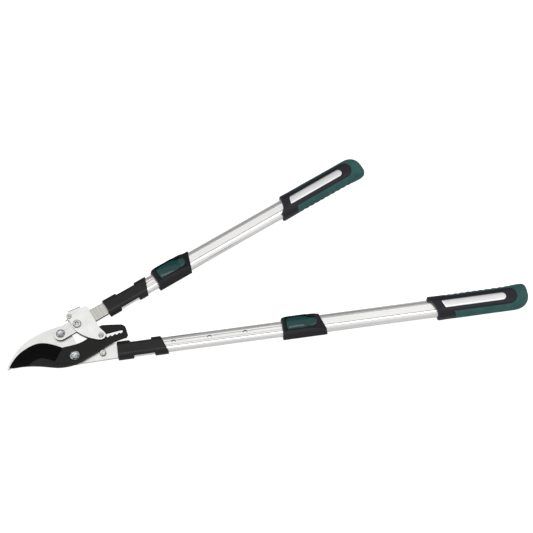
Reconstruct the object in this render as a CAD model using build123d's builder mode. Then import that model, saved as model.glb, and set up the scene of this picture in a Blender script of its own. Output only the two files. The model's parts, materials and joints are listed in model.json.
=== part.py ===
from build123d import *
import os
from math import cos, sin, radians, hypot

os.makedirs("parts", exist_ok=True)

# Telescopic ratchet bypass loppers, millimetres.
# X runs along the lower handle from the jaws (-X) to the grips (+X), Y points
# across to the upper handle, Z is up.  The origin is at the middle of the
# bounding box, on the surface that the loppers lie on.

# ---------------------------------------------------------------- placement
AX, AY, PZ = -334.468, -142.744, 12.5     # blade pivot, and height of the plate joint face
LOW_Y = -0.8                          # lower handle axis beside the blade pivot
UPPER_ANGLE = 24.3                    # between the handles with the jaws closed

# ---------------------------------------------------------------- mechanism
LEVER_PIVOT = (-21.1, 43.0)           # from the blade pivot
PAWL_PIVOT_U, PAWL_PIVOT_V = 32.1, -0.8   # along and across the lever bar
RATCHET_PIN = (47.2, 29.3)            # from the blade pivot
STOP_RIVET = (47.1, -0.75)

PLATE_T = 5.0                         # hook plate, below the joint face
RUN_GAP = 0.2                         # running gap between moving plates
BLADE_T = 4.8
CHEEK_T = 2.8

PIVOT_R = 5.0                         # shoulder of the blade pivot bolt
LEVER_PIVOT_R = 4.5
PIN_CLEAR = 0.06

# ---------------------------------------------------------------- handles
INN_W, INN_T, WALL = 27.6, 15.3, 1.6
OUT_W, OUT_T = 32.1, 19.9
GROOVE_W, GROOVE_D = 5.8, 0.7         # long groove along the inner tube
UPPER_SIDE = -0.5                     # upper tubes beside the middle of the lever bar
TANG_LOW_HALF, TANG_UP_HALF = 9.2, 8.7    # flat tangs inside the inner tubes
INNER_LEN = 319.6
DETENT_FIRST, DETENT_PITCH, DETENTS = 106.7, 61.2, 4
DETENT_R = 3.5

COLLAR_LOW, COLLAR_UP = 72.4, 89.1    # where each collar starts on its handle
COLLAR_LEN, COLLAR_STEP_A, COLLAR_STEP_B = 79.8, 23.3, 60.3
COLLAR_W, COLLAR_T = 33.2, 20.2
COLLAR_WINDOW = 16.6                  # height of the openings in its sides
COLLAR_SKIRT = 2.8                    # the opening at -Y starts that much lower
SKEW = 0.15                           # the recessed middle band runs slightly askew
SLANT = 0.35                          # slope of the slanted ends

HOUS_LOW, HOUS_UP = 351.4, 184.1      # where each latch housing starts
HOUS_LEN, HOUS_W = 72.0, 37.4
HOUS_BOTTOM, HOUS_TOP = -12.5, 22.6
RIM_HALF = 13.1                       # half the width of the rim about the button
BUTTON_WIDE, BUTTON_NARROW = 11.3, 9.0    # half widths of the rocker
THUMB_X = 53.5
TUBE_START, TUBE_END = 17.0, 404.0    # outer tube inside the housing and grip
LATCH_X = 11.4
BUTTON_PIVOT_X, BUTTON_PIVOT_Z = 30.0, 13.9
RECESS_FLOOR = 11.2

GRIP_W, GRIP_BOTTOM, GRIP_TOP = 44.8, -12.5, 16.5
GRIP_ROUND_TOP, GRIP_ROUND_LOW = 14.5, 9.0
CAP_X = 395.6                         # centre of the round end of the black middle
CORE_HALF = 14.5                      # black middle of the grip, half its width
PAD_START = 293.0
INLAY_X = 384.0                       # centre of the round end of the inlay

# ---------------------------------------------------------------- frames
HEAD = Plane(origin=(AX, AY, PZ), x_dir=(1, 0, 0), z_dir=(0, 0, 1))
ua = radians(UPPER_ANGLE)
LEVER = Plane(origin=(AX + LEVER_PIVOT[0], AY + LEVER_PIVOT[1], PZ),
              x_dir=(cos(ua), sin(ua), 0), z_dir=(0, 0, 1))
LOWER = Plane(origin=(AX, AY + LOW_Y, PZ), x_dir=(1, 0, 0), z_dir=(0, 0, 1))


def along(base, s, side=0.0, up=0.0):
    """The frame moved s along a handle, and aside and up."""
    return Plane(origin=base.origin + base.x_dir * s + base.y_dir * side + base.z_dir * up,
                 x_dir=base.x_dir, z_dir=base.z_dir)


def across(base, s, side=0.0, up=0.0):
    """A section plane square to a handle: local x across, local y up."""
    return Plane(origin=base.origin + base.x_dir * s + base.y_dir * side + base.z_dir * up,
                 x_dir=base.y_dir, z_dir=base.x_dir)


def lengthwise(base, s, side=0.0, up=0.0):
    """A plane along a handle, upright: local x along, local y up."""
    return Plane(origin=base.origin + base.x_dir * s + base.y_dir * side + base.z_dir * up,
                 x_dir=base.x_dir, z_dir=base.y_dir * -1)


def head_to_lever(x, y):
    dx, dy = x - LEVER_PIVOT[0], y - LEVER_PIVOT[1]
    return (dx * cos(ua) + dy * sin(ua), -dx * sin(ua) + dy * cos(ua))


def lever_to_head(u, v):
    return (LEVER_PIVOT[0] + u * cos(ua) - v * sin(ua),
            LEVER_PIVOT[1] + u * sin(ua) + v * cos(ua))


def write(builder, label):
    builder.part.label = label
    export_step(builder.part, "parts/" + label + ".step")


pawl_pivot = lever_to_head(PAWL_PIVOT_U, PAWL_PIVOT_V)

# ================================================================ head
# ---- hook plate: counter blade, pivots and lower tang in one steel plate
hook_outer = [(-115.4, -5.2), (-111.2, 4.4), (-107.0, 10.9), (-99.9, 20.7),
              (-92.4, 29.0), (-82.7, 36.9), (-70.6, 43.9), (-59.2, 49.2),
              (-46.0, 53.6), (-24.9, 58.4)]
hook_inner = [(-13.5, 0.0), (-18.0, 7.0), (-24.5, 11.5), (-33.0, 16.6), (-45.0, 21.6),
              (-57.0, 23.6), (-69.0, 22.4), (-79.0, 19.2), (-89.0, 13.8),
              (-97.0, 7.8), (-104.0, 0.8), (-110.0, -5.6), (-113.0, -7.4)]
with BuildPart() as hook_plate:
    with BuildSketch(HEAD.offset(-PLATE_T)):
        with BuildLine():
            top = Spline(*hook_outer)
            Spline(top @ 1, (-13.0, 56.6), (-5.6, 49.0), (-2.4, 39.6), tangents=[top % 1, (0.42, -0.9)])
            Polyline((-2.4, 39.6), (4.0, 23.1), (12.5, 15.4), (28.0, 12.4), (50.0, 13.2), (60.0, 14.4),
                     (71.4, 14.4), (71.4, LOW_Y + TANG_LOW_HALF), (128.0, LOW_Y + TANG_LOW_HALF),
                     (128.0, LOW_Y - TANG_LOW_HALF), (71.4, LOW_Y - TANG_LOW_HALF),
                     (71.4, -12.2), (6.0, -13.5))
            foot = ThreePointArc((6.0, -13.5), (-9.6, -9.4), (-13.5, 0.0))
            inner = Spline(*hook_inner, tangents=[(0.05, 1.0), (-0.94, -0.35)],
                           tangent_scalars=[0.5, 0.5])
            ThreePointArc(inner @ 1, (-115.2, -7.3), top @ 0)
        make_face()
    extrude(amount=PLATE_T)
    with Locations(HEAD.location * Location((0, 0, 0))):
        Hole(radius=PIVOT_R + 0.02, depth=60)
    with Locations(HEAD.location * Location((LEVER_PIVOT[0], LEVER_PIVOT[1], 0))):
        Hole(radius=LEVER_PIVOT_R + 0.02, depth=60)
    with Locations(HEAD.location * Location((STOP_RIVET[0], STOP_RIVET[1], 0))):
        Hole(radius=3.0, depth=60)
    for x in (88.0, 112.0):
        with Locations(HEAD.location * Location((x, LOW_Y, 0))):
            Hole(radius=3.0, depth=60)
write(hook_plate, "hook_plate")

# ---- wide hollow bevel of the cutting blade: one wedge for each stretch of edge
edge_points = [(-111.6, -5.6), (-108.6, 0.2), (-104.0, 6.9), (-98.6, 13.1), (-92.4, 18.6), (-85.4, 23.2),
               (-77.6, 27.2), (-68.4, 30.6), (-57.6, 32.0), (-46.8, 30.4), (-37.0, 27.0),
               (-27.6, 22.6), (-18.5, 17.7)]
BEVEL_W, EDGE_T = 29.0, 0.9
with BuildPart() as bevel_tool:
    for (x0, y0), (x1, y1) in zip(edge_points[:-1], edge_points[1:]):
        d = hypot(x1 - x0, y1 - y0)
        tx, ty = (x1 - x0) / d, (y1 - y0) / d
        with BuildSketch(Plane(origin=(AX + (x0 + x1) / 2, AY + (y0 + y1) / 2, PZ + RUN_GAP),
                               x_dir=(ty, -tx, 0), z_dir=(-tx, -ty, 0))):
            Polygon((-30, EDGE_T), (0, EDGE_T), (BEVEL_W, BLADE_T), (BEVEL_W, BLADE_T + 3), (-30, BLADE_T + 3),
                    align=None)
        extrude(amount=120, both=True)
    with BuildSketch(HEAD):
        Polygon((-18.4, 18.2), (-34.2, -6.6), (-60.0, -60.0), (-160.0, -60.0), (-160.0, 80.0), (-18.4, 80.0),
                align=None)
    extrude(amount=20, both=True, mode=Mode.INTERSECT)

slot_upper = [(49.2, 32.3), (55.4, 32.6), (82.6, 35.9)]
slot_lower = [(84.4, 33.4), (83.6, 30.6), (80.6, 29.0), (78.0, 30.6), (73.7, 27.4), (70.6, 29.6),
              (65.5, 25.9), (62.8, 28.3), (57.9, 24.6), (55.0, 27.1), (49.2, 26.9)]
blade_tail = [(-18.5, 17.7), (-8.0, 18.6), (4.1, 20.2), (14.2, 23.0), (23.4, 27.4), (34.0, 38.2), (44.0, 46.4),
              (49.9, 48.6), (66.2, 47.2), (83.6, 45.2), (89.2, 41.0), (91.0, 33.2), (92.4, 25.2),
              (89.6, 20.8), (83.9, 20.0), (74.5, 17.9), (62.6, 13.6), (53.2, 8.9), (46.4, 5.0)]
blade_back = [(46.4, 5.0), (40.4, 1.9), (31.6, -2.4), (22.6, -6.4), (7.4, -13.2), (-2.6, -15.9), (-17.2, -17.4),
              (-27.8, -17.0), (-41.1, -14.4), (-63.0, -9.4), (-82.2, -7.0), (-95.1, -6.7),
              (-104.0, -6.9), (-111.6, -5.6)]
with BuildPart() as cutting_blade:
    with BuildSketch(HEAD.offset(RUN_GAP)) as blade_sketch:
        with BuildLine():
            Polyline(*edge_points)
            Polyline(*blade_tail)
            Spline(*blade_back)
        make_face()
    extrude(amount=BLADE_T)
    with BuildSketch(HEAD.offset(RUN_GAP)) as ratchet_slot:
        with BuildLine():
            Polyline(*slot_upper, *slot_lower, close=True)
        make_face()
        fillet(ratchet_slot.vertices().filter_by(lambda v: v.X > AX + 50.5), radius=0.45)
        with Locations((RATCHET_PIN[0] + 0.5, RATCHET_PIN[1] + 0.33)):
            Circle(3.15)
    extrude(amount=BLADE_T, mode=Mode.SUBTRACT)
    with Locations(HEAD.location * Location((0, 0, 0))):
        Hole(radius=PIVOT_R + PIN_CLEAR, depth=60)
    add(bevel_tool.part, mode=Mode.SUBTRACT)
write(cutting_blade, "cutting_blade")

# ---- fasteners of the head
def hex_bolt(plane, shank_r, shank_from, head_from, across_flats, head_h):
    """Shank, chamfered hexagon, and a round crown with a ring groove about its middle."""
    with BuildPart() as bolt:
        with BuildSketch(plane.offset(shank_from)):
            Circle(shank_r)
        extrude(amount=head_from - shank_from)
        with BuildSketch(plane.offset(head_from)):
            RegularPolygon(radius=across_flats / 2, side_count=6, major_radius=False)
        extrude(amount=head_h - 1.4)
        crown = bolt.faces().sort_by(Axis.Z)[-1]
        chamfer(crown.edges(), length=0.9)
        chamfer(bolt.faces().sort_by(Axis.Z)[0].edges(), length=0.6)
        with BuildSketch(plane.offset(head_from + head_h - 1.4)):
            Circle(across_flats * 0.41)
        extrude(amount=1.4)
        chamfer(bolt.faces().sort_by(Axis.Z)[-1].edges(), length=0.6)
        with BuildSketch(plane.offset(head_from + head_h)):
            Circle(across_flats * 0.33)
            Circle(across_flats * 0.25, mode=Mode.SUBTRACT)
        extrude(amount=-1.3, mode=Mode.SUBTRACT)
    return bolt


def hex_nut(plane, bore_r, start, across_flats, height):
    with BuildPart() as nut:
        with BuildSketch(plane.offset(start)):
            RegularPolygon(radius=across_flats / 2, side_count=6, major_radius=False)
            Circle(bore_r + 0.02, mode=Mode.SUBTRACT)
        extrude(amount=height)
        chamfer(nut.faces().sort_by(Axis.Z)[0].outer_wire().edges(), length=0.8)
    return nut


def washers(plane, bore_r, outer_r, layers):
    with BuildPart() as rings:
        for start, thick in layers:
            with BuildSketch(plane.offset(start)):
                Circle(outer_r)
                Circle(bore_r + 0.02, mode=Mode.SUBTRACT)
            extrude(amount=thick)
    return rings


LEVER_HEAD = Plane(origin=LEVER.origin, x_dir=(1, 0, 0), z_dir=(0, 0, 1))
TOP_FACE = RUN_GAP + BLADE_T
blade_pivot_bolt = hex_bolt(HEAD, PIVOT_R, -12.5, TOP_FACE + 1.35, 12.8, 5.6)
write(blade_pivot_bolt, "blade_pivot_bolt")
blade_pivot_nut = hex_nut(HEAD, PIVOT_R, -PLATE_T - 1.3 - 5.0, 14.6, 5.0)
write(blade_pivot_nut, "blade_pivot_nut")
blade_pivot_washers = washers(HEAD, PIVOT_R, 7.9, [(TOP_FACE + 0.05, 1.3), (-PLATE_T - 1.3, 1.3)])
write(blade_pivot_washers, "blade_pivot_washers")
lever_pivot_bolt = hex_bolt(LEVER_HEAD, LEVER_PIVOT_R, -12.2, TOP_FACE + 1.35, 11.4, 5.0)
write(lever_pivot_bolt, "lever_pivot_bolt")
lever_pivot_nut = hex_nut(LEVER_HEAD, LEVER_PIVOT_R, -PLATE_T - 1.3 - 5.0, 11.4, 5.0)
write(lever_pivot_nut, "lever_pivot_nut")
lever_pivot_washers = washers(LEVER_HEAD, LEVER_PIVOT_R, 6.7, [(TOP_FACE + 0.05, 1.3), (-PLATE_T - 1.3, 1.3)])
write(lever_pivot_washers, "lever_pivot_washers")

# ---- stop rivet that the blade tail rests on
with BuildPart() as blade_stop_rivet:
    with BuildSketch(HEAD.offset(0)):
        with Locations(STOP_RIVET):
            Circle(5.4)
    extrude(amount=4.0)
    chamfer(blade_stop_rivet.faces().sort_by(Axis.Z)[-1].edges(), length=0.9)
    with BuildSketch(HEAD.offset(0)):
        with Locations(STOP_RIVET):
            Circle(2.98)
    extrude(amount=-PLATE_T)
    with BuildSketch(HEAD.offset(-PLATE_T)):
        with Locations(STOP_RIVET):
            Circle(4.8)
    extrude(amount=-1.4)
    chamfer(blade_stop_rivet.faces().sort_by(Axis.Z)[0].edges(), length=0.6)
write(blade_stop_rivet, "blade_stop_rivet")

# ---- lever bar: flat steel, round about its pivot, stepped down inside the tube
BAR_HALF = 11.8
with BuildPart() as lever_bar:
    with BuildSketch(LEVER.offset(RUN_GAP)):
        with BuildLine():
            Polyline((0, BAR_HALF), (88.0, BAR_HALF), (88.0, TANG_UP_HALF), (146.0, TANG_UP_HALF),
                     (146.0, -TANG_UP_HALF), (88.0, -TANG_UP_HALF), (88.0, -BAR_HALF), (0, -BAR_HALF))
            ThreePointArc((0, BAR_HALF), (-BAR_HALF, 0), (0, -BAR_HALF))
        make_face()
    extrude(amount=BLADE_T)
    with Locations(LEVER.location * Location((0, 0, 0))):
        Hole(radius=LEVER_PIVOT_R + PIN_CLEAR, depth=60)
    with Locations(LEVER.location * Location((PAWL_PIVOT_U, PAWL_PIVOT_V, 0))):
        Hole(radius=3.52, depth=60)
    for u in (104.7, 128.7):
        with Locations(LEVER.location * Location((u, UPPER_SIDE, 0))):
            Hole(radius=3.0, depth=60)
write(lever_bar, "lever_bar")

# ---- pawl: two cheeks either side of the lever bar and blade tail, one bridge
pawl_outline = [(-4.4, 80.9), (16.4, 87.2), (17.3, 83.9), (20.4, 85.6), (24.6, 86.6), (28.6, 84.9), (31.0, 81.2),
                (32.5, 75.0), (35.2, 68.7), (37.9, 62.5), (40.4, 56.1), (42.4, 50.0), (45.8, 44.0),
                (54.0, 33.6), (55.6, 30.2), (54.9, 26.2), (51.9, 22.9), (47.6, 21.4), (43.0, 21.8), (34.7, 24.5),
                (25.9, 28.2), (19.0, 32.1), (12.0, 37.2), (7.2, 41.6), (3.6, 46.0), (0.6, 51.0), (-0.9, 56.2),
                (-3.3, 61.4), (-6.4, 65.6), (-8.8, 70.0), (-8.4, 75.0)]
D_PIN = (-4.0, 71.1)
with BuildPart() as pawl_cheeks:
    for start in (TOP_FACE + RUN_GAP, -CHEEK_T):
        with BuildSketch(HEAD.offset(start)):
            Polygon(*pawl_outline, align=None)
            with Locations(pawl_pivot):
                Circle(3.5 + PIN_CLEAR, mode=Mode.SUBTRACT)
            with Locations(D_PIN):
                Circle(2.22, mode=Mode.SUBTRACT)
            with Locations(RATCHET_PIN):
                Circle(2.22, mode=Mode.SUBTRACT)
        extrude(amount=CHEEK_T)
    with BuildSketch(LEVER.offset(-CHEEK_T)):
        Polygon((30.2, 24.6), (36.4, 24.0), (36.7, 26.6), (30.5, 27.2), align=None)
    extrude(amount=TOP_FACE + RUN_GAP + 2 * CHEEK_T)
    upright = pawl_cheeks.edges().filter_by(Axis.Z)
write(pawl_cheeks, "pawl_cheeks")


def headed_pin(centre, shank_r, low, high, head_r, head_h, foot_r, foot_h, dimple):
    with BuildPart() as pin:
        with BuildSketch(HEAD.offset(low)):
            with Locations(centre):
                Circle(shank_r)
        extrude(amount=high - low)
        with BuildSketch(HEAD.offset(high)):
            with Locations(centre):
                Circle(head_r)
        extrude(amount=head_h)
        chamfer(pin.faces().sort_by(Axis.Z)[-1].edges(), length=head_h * 0.45)
        with BuildSketch(HEAD.offset(low)):
            with Locations(centre):
                Circle(foot_r)
        extrude(amount=-foot_h)
        chamfer(pin.faces().sort_by(Axis.Z)[0].edges(), length=foot_h * 0.4)
        with BuildSketch(HEAD.offset(high + head_h)):
            with Locations(centre):
                Circle(dimple)
        extrude(amount=-head_h * 0.75, taper=25, mode=Mode.SUBTRACT)
    return pin


CHEEK_TOP = TOP_FACE + RUN_GAP + CHEEK_T
pawl_pivot_pin = headed_pin(pawl_pivot, 3.5, -CHEEK_T - 0.1, CHEEK_TOP + 0.1, 7.2, 2.6, 6.0, 1.8, 3.6)
write(pawl_pivot_pin, "pawl_pivot_pin")
pawl_stop_pin = headed_pin(D_PIN, 2.2, -CHEEK_T, CHEEK_TOP, 4.3, 1.5, 3.8, 1.2, 1.6)
write(pawl_stop_pin, "pawl_stop_pin")
ratchet_pin = headed_pin(RATCHET_PIN, 2.2, -CHEEK_T, CHEEK_TOP, 4.6, 1.6, 4.0, 1.2, 1.8)
write(ratchet_pin, "ratchet_pin")

# ---- pawl spring: three close turns on the stop pin, one leg on the bridge and one over the bar
with BuildPart() as pawl_spring:
    for k in range(3):
        with BuildSketch(HEAD.offset(0.75 + 1.2 * k)):
            with Locations(D_PIN):
                Circle(3.45 - 0.1 * (k % 2))
                Circle(2.3, mode=Mode.SUBTRACT)
        extrude(amount=1.2)
    bx, by = lever_to_head(33.0, 22.9)
    with BuildSketch(HEAD.offset(0.8)):
        with BuildLine():
            Polyline((D_PIN[0] - 3.4, D_PIN[1] + 0.2), (bx - 2.5, by - 0.1), (bx - 1.4, by - 0.3),
                     (D_PIN[0] - 2.85, D_PIN[1] + 0.3), close=True)
        make_face()
    extrude(amount=1.1)
    with BuildSketch(HEAD.offset(3.3)):
        with BuildLine():
            Polyline((D_PIN[0] - 0.8, D_PIN[1] - 3.3), (D_PIN[0] - 7.2, D_PIN[1] - 7.2),
                     (D_PIN[0] - 7.8, D_PIN[1] - 6.2), (D_PIN[0] - 2.4, D_PIN[1] - 2.4), close=True)
        make_face()
    extrude(amount=1.1)
write(pawl_spring, "pawl_spring")

# ================================================================ collars and inner tubes
def make_collar(base, sgn, tang_low, tang_high, tang_half, tang_side):
    """Plastic sleeve that joins a flat tang to the inner tube; its middle is recessed and open at both sides."""
    with BuildPart() as band:
        with BuildSketch(base):
            Polygon((COLLAR_STEP_A + 40 * SKEW, -40 * sgn), (COLLAR_STEP_B + 40 * SKEW, -40 * sgn),
                    (COLLAR_STEP_B - 40 * SKEW, 40 * sgn), (COLLAR_STEP_A - 40 * SKEW, 40 * sgn), align=None)
        extrude(amount=30, both=True)
        with BuildSketch(across(base, -5)):
            SlotOverall(COLLAR_W - 1.8, COLLAR_T - 1.6)
        extrude(amount=120, mode=Mode.SUBTRACT)
    with BuildPart() as window:
        with BuildSketch(base.offset(-COLLAR_WINDOW / 2)):
            Polygon((COLLAR_STEP_A + 1.2 + 40 * SKEW, -40 * sgn), (COLLAR_STEP_B - 0.4 + 40 * SKEW, -40 * sgn),
                    (COLLAR_STEP_B - 0.4 - 40 * SKEW, 40 * sgn), (COLLAR_STEP_A + 1.2 - 40 * SKEW, 40 * sgn),
                    align=None)
        extrude(amount=COLLAR_WINDOW)
        with BuildSketch(base.offset(COLLAR_WINDOW / 2 - COLLAR_SKIRT)):
            with Locations((40, -20)):
                Rectangle(160, 40)
        extrude(amount=COLLAR_SKIRT + 1, mode=Mode.SUBTRACT)
    with BuildPart() as collar:
        with BuildSketch(across(base, 0)):
            SlotOverall(COLLAR_W, COLLAR_T)
        extrude(amount=COLLAR_LEN + 8)
        add(band.part, mode=Mode.SUBTRACT)
        with BuildSketch(base):
            Polygon((COLLAR_LEN + 30 * SLANT, -sgn * 30), (COLLAR_LEN - 30 * SLANT, sgn * 30),
                    (COLLAR_LEN + 60, sgn * 30), (COLLAR_LEN + 60, -sgn * 30), align=None)
        extrude(amount=40, both=True, mode=Mode.SUBTRACT)
        with BuildSketch(across(base, 3.2)):
            SlotOverall(INN_W + 0.1, INN_T + 0.1)
        extrude(amount=100, mode=Mode.SUBTRACT)
        with BuildSketch(across(base, -1)):
            with Locations((tang_side, (tang_low + tang_high) / 2)):
                Rectangle(2 * tang_half + 0.3, tang_high - tang_low + 0.1)
        extrude(amount=6, mode=Mode.SUBTRACT)
        add(window.part, mode=Mode.SUBTRACT)
    return collar


def make_inner_tube(base):
    """Anodised tube with a groove along both flats and, on a thick rib, a row of detent pockets on top."""
    with BuildPart() as tube:
        with BuildSketch(across(base, 4.0)):
            SlotOverall(INN_W, INN_T)
            with Locations((0, INN_T / 2), (0, -INN_T / 2)):
                Rectangle(GROOVE_W, 2 * GROOVE_D, mode=Mode.SUBTRACT)
            with Locations(*[(y, z) for y in (-6.15, -2.9, 2.9, 6.15) for z in (INN_T / 2, -INN_T / 2)]):
                Rectangle(0.9, 1.8, mode=Mode.SUBTRACT)
            SlotOverall(INN_W - 2 * WALL, INN_T - 2 * WALL, mode=Mode.SUBTRACT)
            with Locations((0, 5.65)):
                Rectangle(9.6, 1.1)
        extrude(amount=INNER_LEN)
        with BuildSketch(base.offset(INN_T / 2 + 1)):
            with Locations(*[(DETENT_FIRST + DETENT_PITCH * k, 0) for k in range(DETENTS)]):
                Circle(DETENT_R)
        extrude(amount=-2.6, mode=Mode.SUBTRACT)
        with BuildSketch(base.offset(INN_T)):
            with Locations((15.6, 0), (39.6, 0)):
                Circle(3.0)
        extrude(amount=-2 * INN_T, mode=Mode.SUBTRACT)
    return tube


def make_tang_rivets(base):
    with BuildPart() as rivets:
        with BuildSketch(base.offset(-7.2)):
            with Locations((15.6, 0), (39.6, 0)):
                Circle(2.97)
        extrude(amount=14.4)
    return rivets


def make_guide_plug(base):
    """Nylon plug in the end of the inner tube; its flange guides in the outer tube."""
    with BuildPart() as plug:
        with BuildSketch(across(base, 4.0 + INNER_LEN - 22)):
            SlotOverall(INN_W - 2 * WALL - 0.1, INN_T - 2 * WALL - 0.1)
            SlotOverall(INN_W - 2 * WALL - 5.0, INN_T - 2 * WALL - 5.0, mode=Mode.SUBTRACT)
        extrude(amount=22)
        with BuildSketch(across(base, 4.0 + INNER_LEN)):
            SlotOverall(OUT_W - 2 * WALL - 0.6, OUT_T - 2 * WALL - 0.6)
            SlotOverall(INN_W - 2 * WALL - 5.0, INN_T - 2 * WALL - 5.0, mode=Mode.SUBTRACT)
        extrude(amount=6)
        with BuildSketch(across(base, 4.0 + INNER_LEN - 23)):
            with Locations((0, 6.0)):
                Rectangle(10.0, 2.0)
        extrude(amount=23.05, mode=Mode.SUBTRACT)
    return plug


LOW_COLLAR = along(LOWER, COLLAR_LOW)
UP_COLLAR = along(LEVER, COLLAR_UP, UPPER_SIDE)
lower_collar = make_collar(LOW_COLLAR, 1, -PLATE_T, 0.0, TANG_LOW_HALF, 0.0)
write(lower_collar, "lower_collar")
upper_collar = make_collar(UP_COLLAR, -1, RUN_GAP, TOP_FACE, TANG_UP_HALF, -UPPER_SIDE)
write(upper_collar, "upper_collar")
lower_inner_tube = make_inner_tube(LOW_COLLAR)
write(lower_inner_tube, "lower_inner_tube")
upper_inner_tube = make_inner_tube(UP_COLLAR)
write(upper_inner_tube, "upper_inner_tube")
lower_tang_rivets = make_tang_rivets(LOW_COLLAR)
write(lower_tang_rivets, "lower_tang_rivets")
upper_tang_rivets = make_tang_rivets(UP_COLLAR)
write(upper_tang_rivets, "upper_tang_rivets")
lower_guide_plug = make_guide_plug(LOW_COLLAR)
write(lower_guide_plug, "lower_guide_plug")
upper_guide_plug = make_guide_plug(UP_COLLAR)
write(upper_guide_plug, "upper_guide_plug")


# ================================================================ sliding outer halves
def make_outer_tube(base):
    with BuildPart() as tube:
        with BuildSketch(across(base, TUBE_START)):
            SlotOverall(OUT_W, OUT_T)
            with Locations((6.2, OUT_T / 2), (-6.2, OUT_T / 2), (6.2, -OUT_T / 2), (-6.2, -OUT_T / 2)):
                Rectangle(0.9, 1.6, mode=Mode.SUBTRACT)
            SlotOverall(OUT_W - 2 * WALL, OUT_T - 2 * WALL, mode=Mode.SUBTRACT)
        extrude(amount=TUBE_END - TUBE_START)
        with BuildSketch(base.offset(-OUT_T / 2 - 1)):
            with Locations((36.0, 0), (58.0, 0)):
                Circle(1.95)
        extrude(amount=4, mode=Mode.SUBTRACT)
    return tube


def rocker_plan(grow, start):
    """Plan of the rocker, wide over the latch and narrower at the thumb end, without its round end."""
    wide, narrow = BUTTON_WIDE + grow, BUTTON_NARROW + grow
    return [(start, -wide), (42.0, -wide), (47.8, -narrow), (THUMB_X, -narrow),
            (THUMB_X, narrow), (47.8, narrow), (42.0, wide), (start, wide)]


def make_housing(base, sgn):
    """One moulding over the end of the outer tube, drawn up into a rim about the rocker button."""
    with BuildPart() as housing:
        with BuildSketch(across(base, 2.4)):
            with BuildLine():
                half = HOUS_W / 2
                low = HOUS_BOTTOM
                Polyline((half, low + 8.5), (14.9, 8.6), (13.9, 15.0), (RIM_HALF, HOUS_TOP - 0.6),
                         (RIM_HALF - 0.6, HOUS_TOP), (0.6 - RIM_HALF, HOUS_TOP), (-RIM_HALF, HOUS_TOP - 0.6),
                         (-13.9, 15.0), (-14.9, 8.6), (-half, low + 8.5))
                ThreePointArc((-half, low + 8.5), (-half + 8.5 * (1 - cos(radians(45))), low + 8.5 * (1 - sin(radians(45)))),
                              (-half + 8.5, low))
                Line((-half + 8.5, low), (half - 8.5, low))
                ThreePointArc((half - 8.5, low), (half - 8.5 * (1 - cos(radians(45))), low + 8.5 * (1 - sin(radians(45)))),
                              (half, low + 8.5))
            make_face()
        extrude(amount=HOUS_LEN + 12)
        with BuildSketch(lengthwise(base, 0)):
            with BuildLine():
                rise = Spline((2.4, 12.4), (3.6, 16.6), (6.6, 19.8), (11.0, 21.8), (17.0, 22.5), (24.0, 22.6),
                              tangents=[(0.1, 1.0), (1.0, 0.0)])
                Polyline((24.0, 22.6), (42.6, 22.6), (44.6, 20.2))
                fall = Spline((44.6, 20.2), (52.0, 19.9), (57.0, 18.9), (61.0, 17.0), (64.5, 14.4), (68.5, 12.6),
                              (74.0, 12.0), (84.0, 11.8))
                Polyline(fall @ 1, (84.0, -20.0), (2.4, -20.0), (2.4, 12.4))
            make_face()
        extrude(amount=30, both=True, mode=Mode.INTERSECT)
        with BuildSketch(base):
            Polygon((HOUS_LEN + 30 * SLANT, -sgn * 30), (HOUS_LEN - 30 * SLANT, sgn * 30),
                    (HOUS_LEN + 60, sgn * 30), (HOUS_LEN + 60, -sgn * 30), align=None)
        extrude(amount=40, both=True, mode=Mode.SUBTRACT)
        with BuildSketch(across(base, -2)):
            SlotOverall(INN_W + 0.8, INN_T + 0.8)
        extrude(amount=100, mode=Mode.SUBTRACT)
        with BuildSketch(across(base, TUBE_START)):
            SlotOverall(OUT_W + 0.1, OUT_T + 0.1)
        extrude(amount=100, mode=Mode.SUBTRACT)
        with BuildSketch(base.offset(RECESS_FLOOR)):
            Polygon(*rocker_plan(0.5, 8.7), align=None)
            with Locations((THUMB_X, 0)):
                Circle(BUTTON_NARROW + 0.85)
        extrude(amount=14, mode=Mode.SUBTRACT)
        with BuildSketch(base):
            with Locations((LATCH_X, 0)):
                Rectangle(7.0, 7.6)
        extrude(amount=20, mode=Mode.SUBTRACT)
        with BuildSketch(lengthwise(base, BUTTON_PIVOT_X, 0, BUTTON_PIVOT_Z)):
            Circle(1.5)
        extrude(amount=13.2, both=True, mode=Mode.SUBTRACT)
        for x in (36.0, 58.0):
            with BuildSketch(base.offset(HOUS_BOTTOM - 1)):
                with Locations((x, 0)):
                    Circle(1.95)
            extrude(amount=6, mode=Mode.SUBTRACT)
            with BuildSketch(base.offset(HOUS_BOTTOM)):
                with Locations((x, 0)):
                    Circle(3.4)
            extrude(amount=1.3, taper=40, mode=Mode.SUBTRACT)
    return housing


def make_housing_screws(base):
    with BuildPart() as screws:
        for x in (36.0, 58.0):
            with BuildSketch(base.offset(HOUS_BOTTOM + 0.1)):
                with Locations((x, 0)):
                    Circle(3.2)
            extrude(amount=1.2, taper=40)
            with BuildSketch(base.offset(HOUS_BOTTOM + 0.1)):
                with Locations((x, 0)):
                    Circle(1.9)
            extrude(amount=3.7)
            with BuildSketch(base.offset(HOUS_BOTTOM + 0.1)):
                with Locations((x, 0)):
                    Rectangle(3.4, 0.7)
                    Rectangle(0.7, 3.4)
            extrude(amount=0.9, mode=Mode.SUBTRACT)
    return screws


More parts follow.
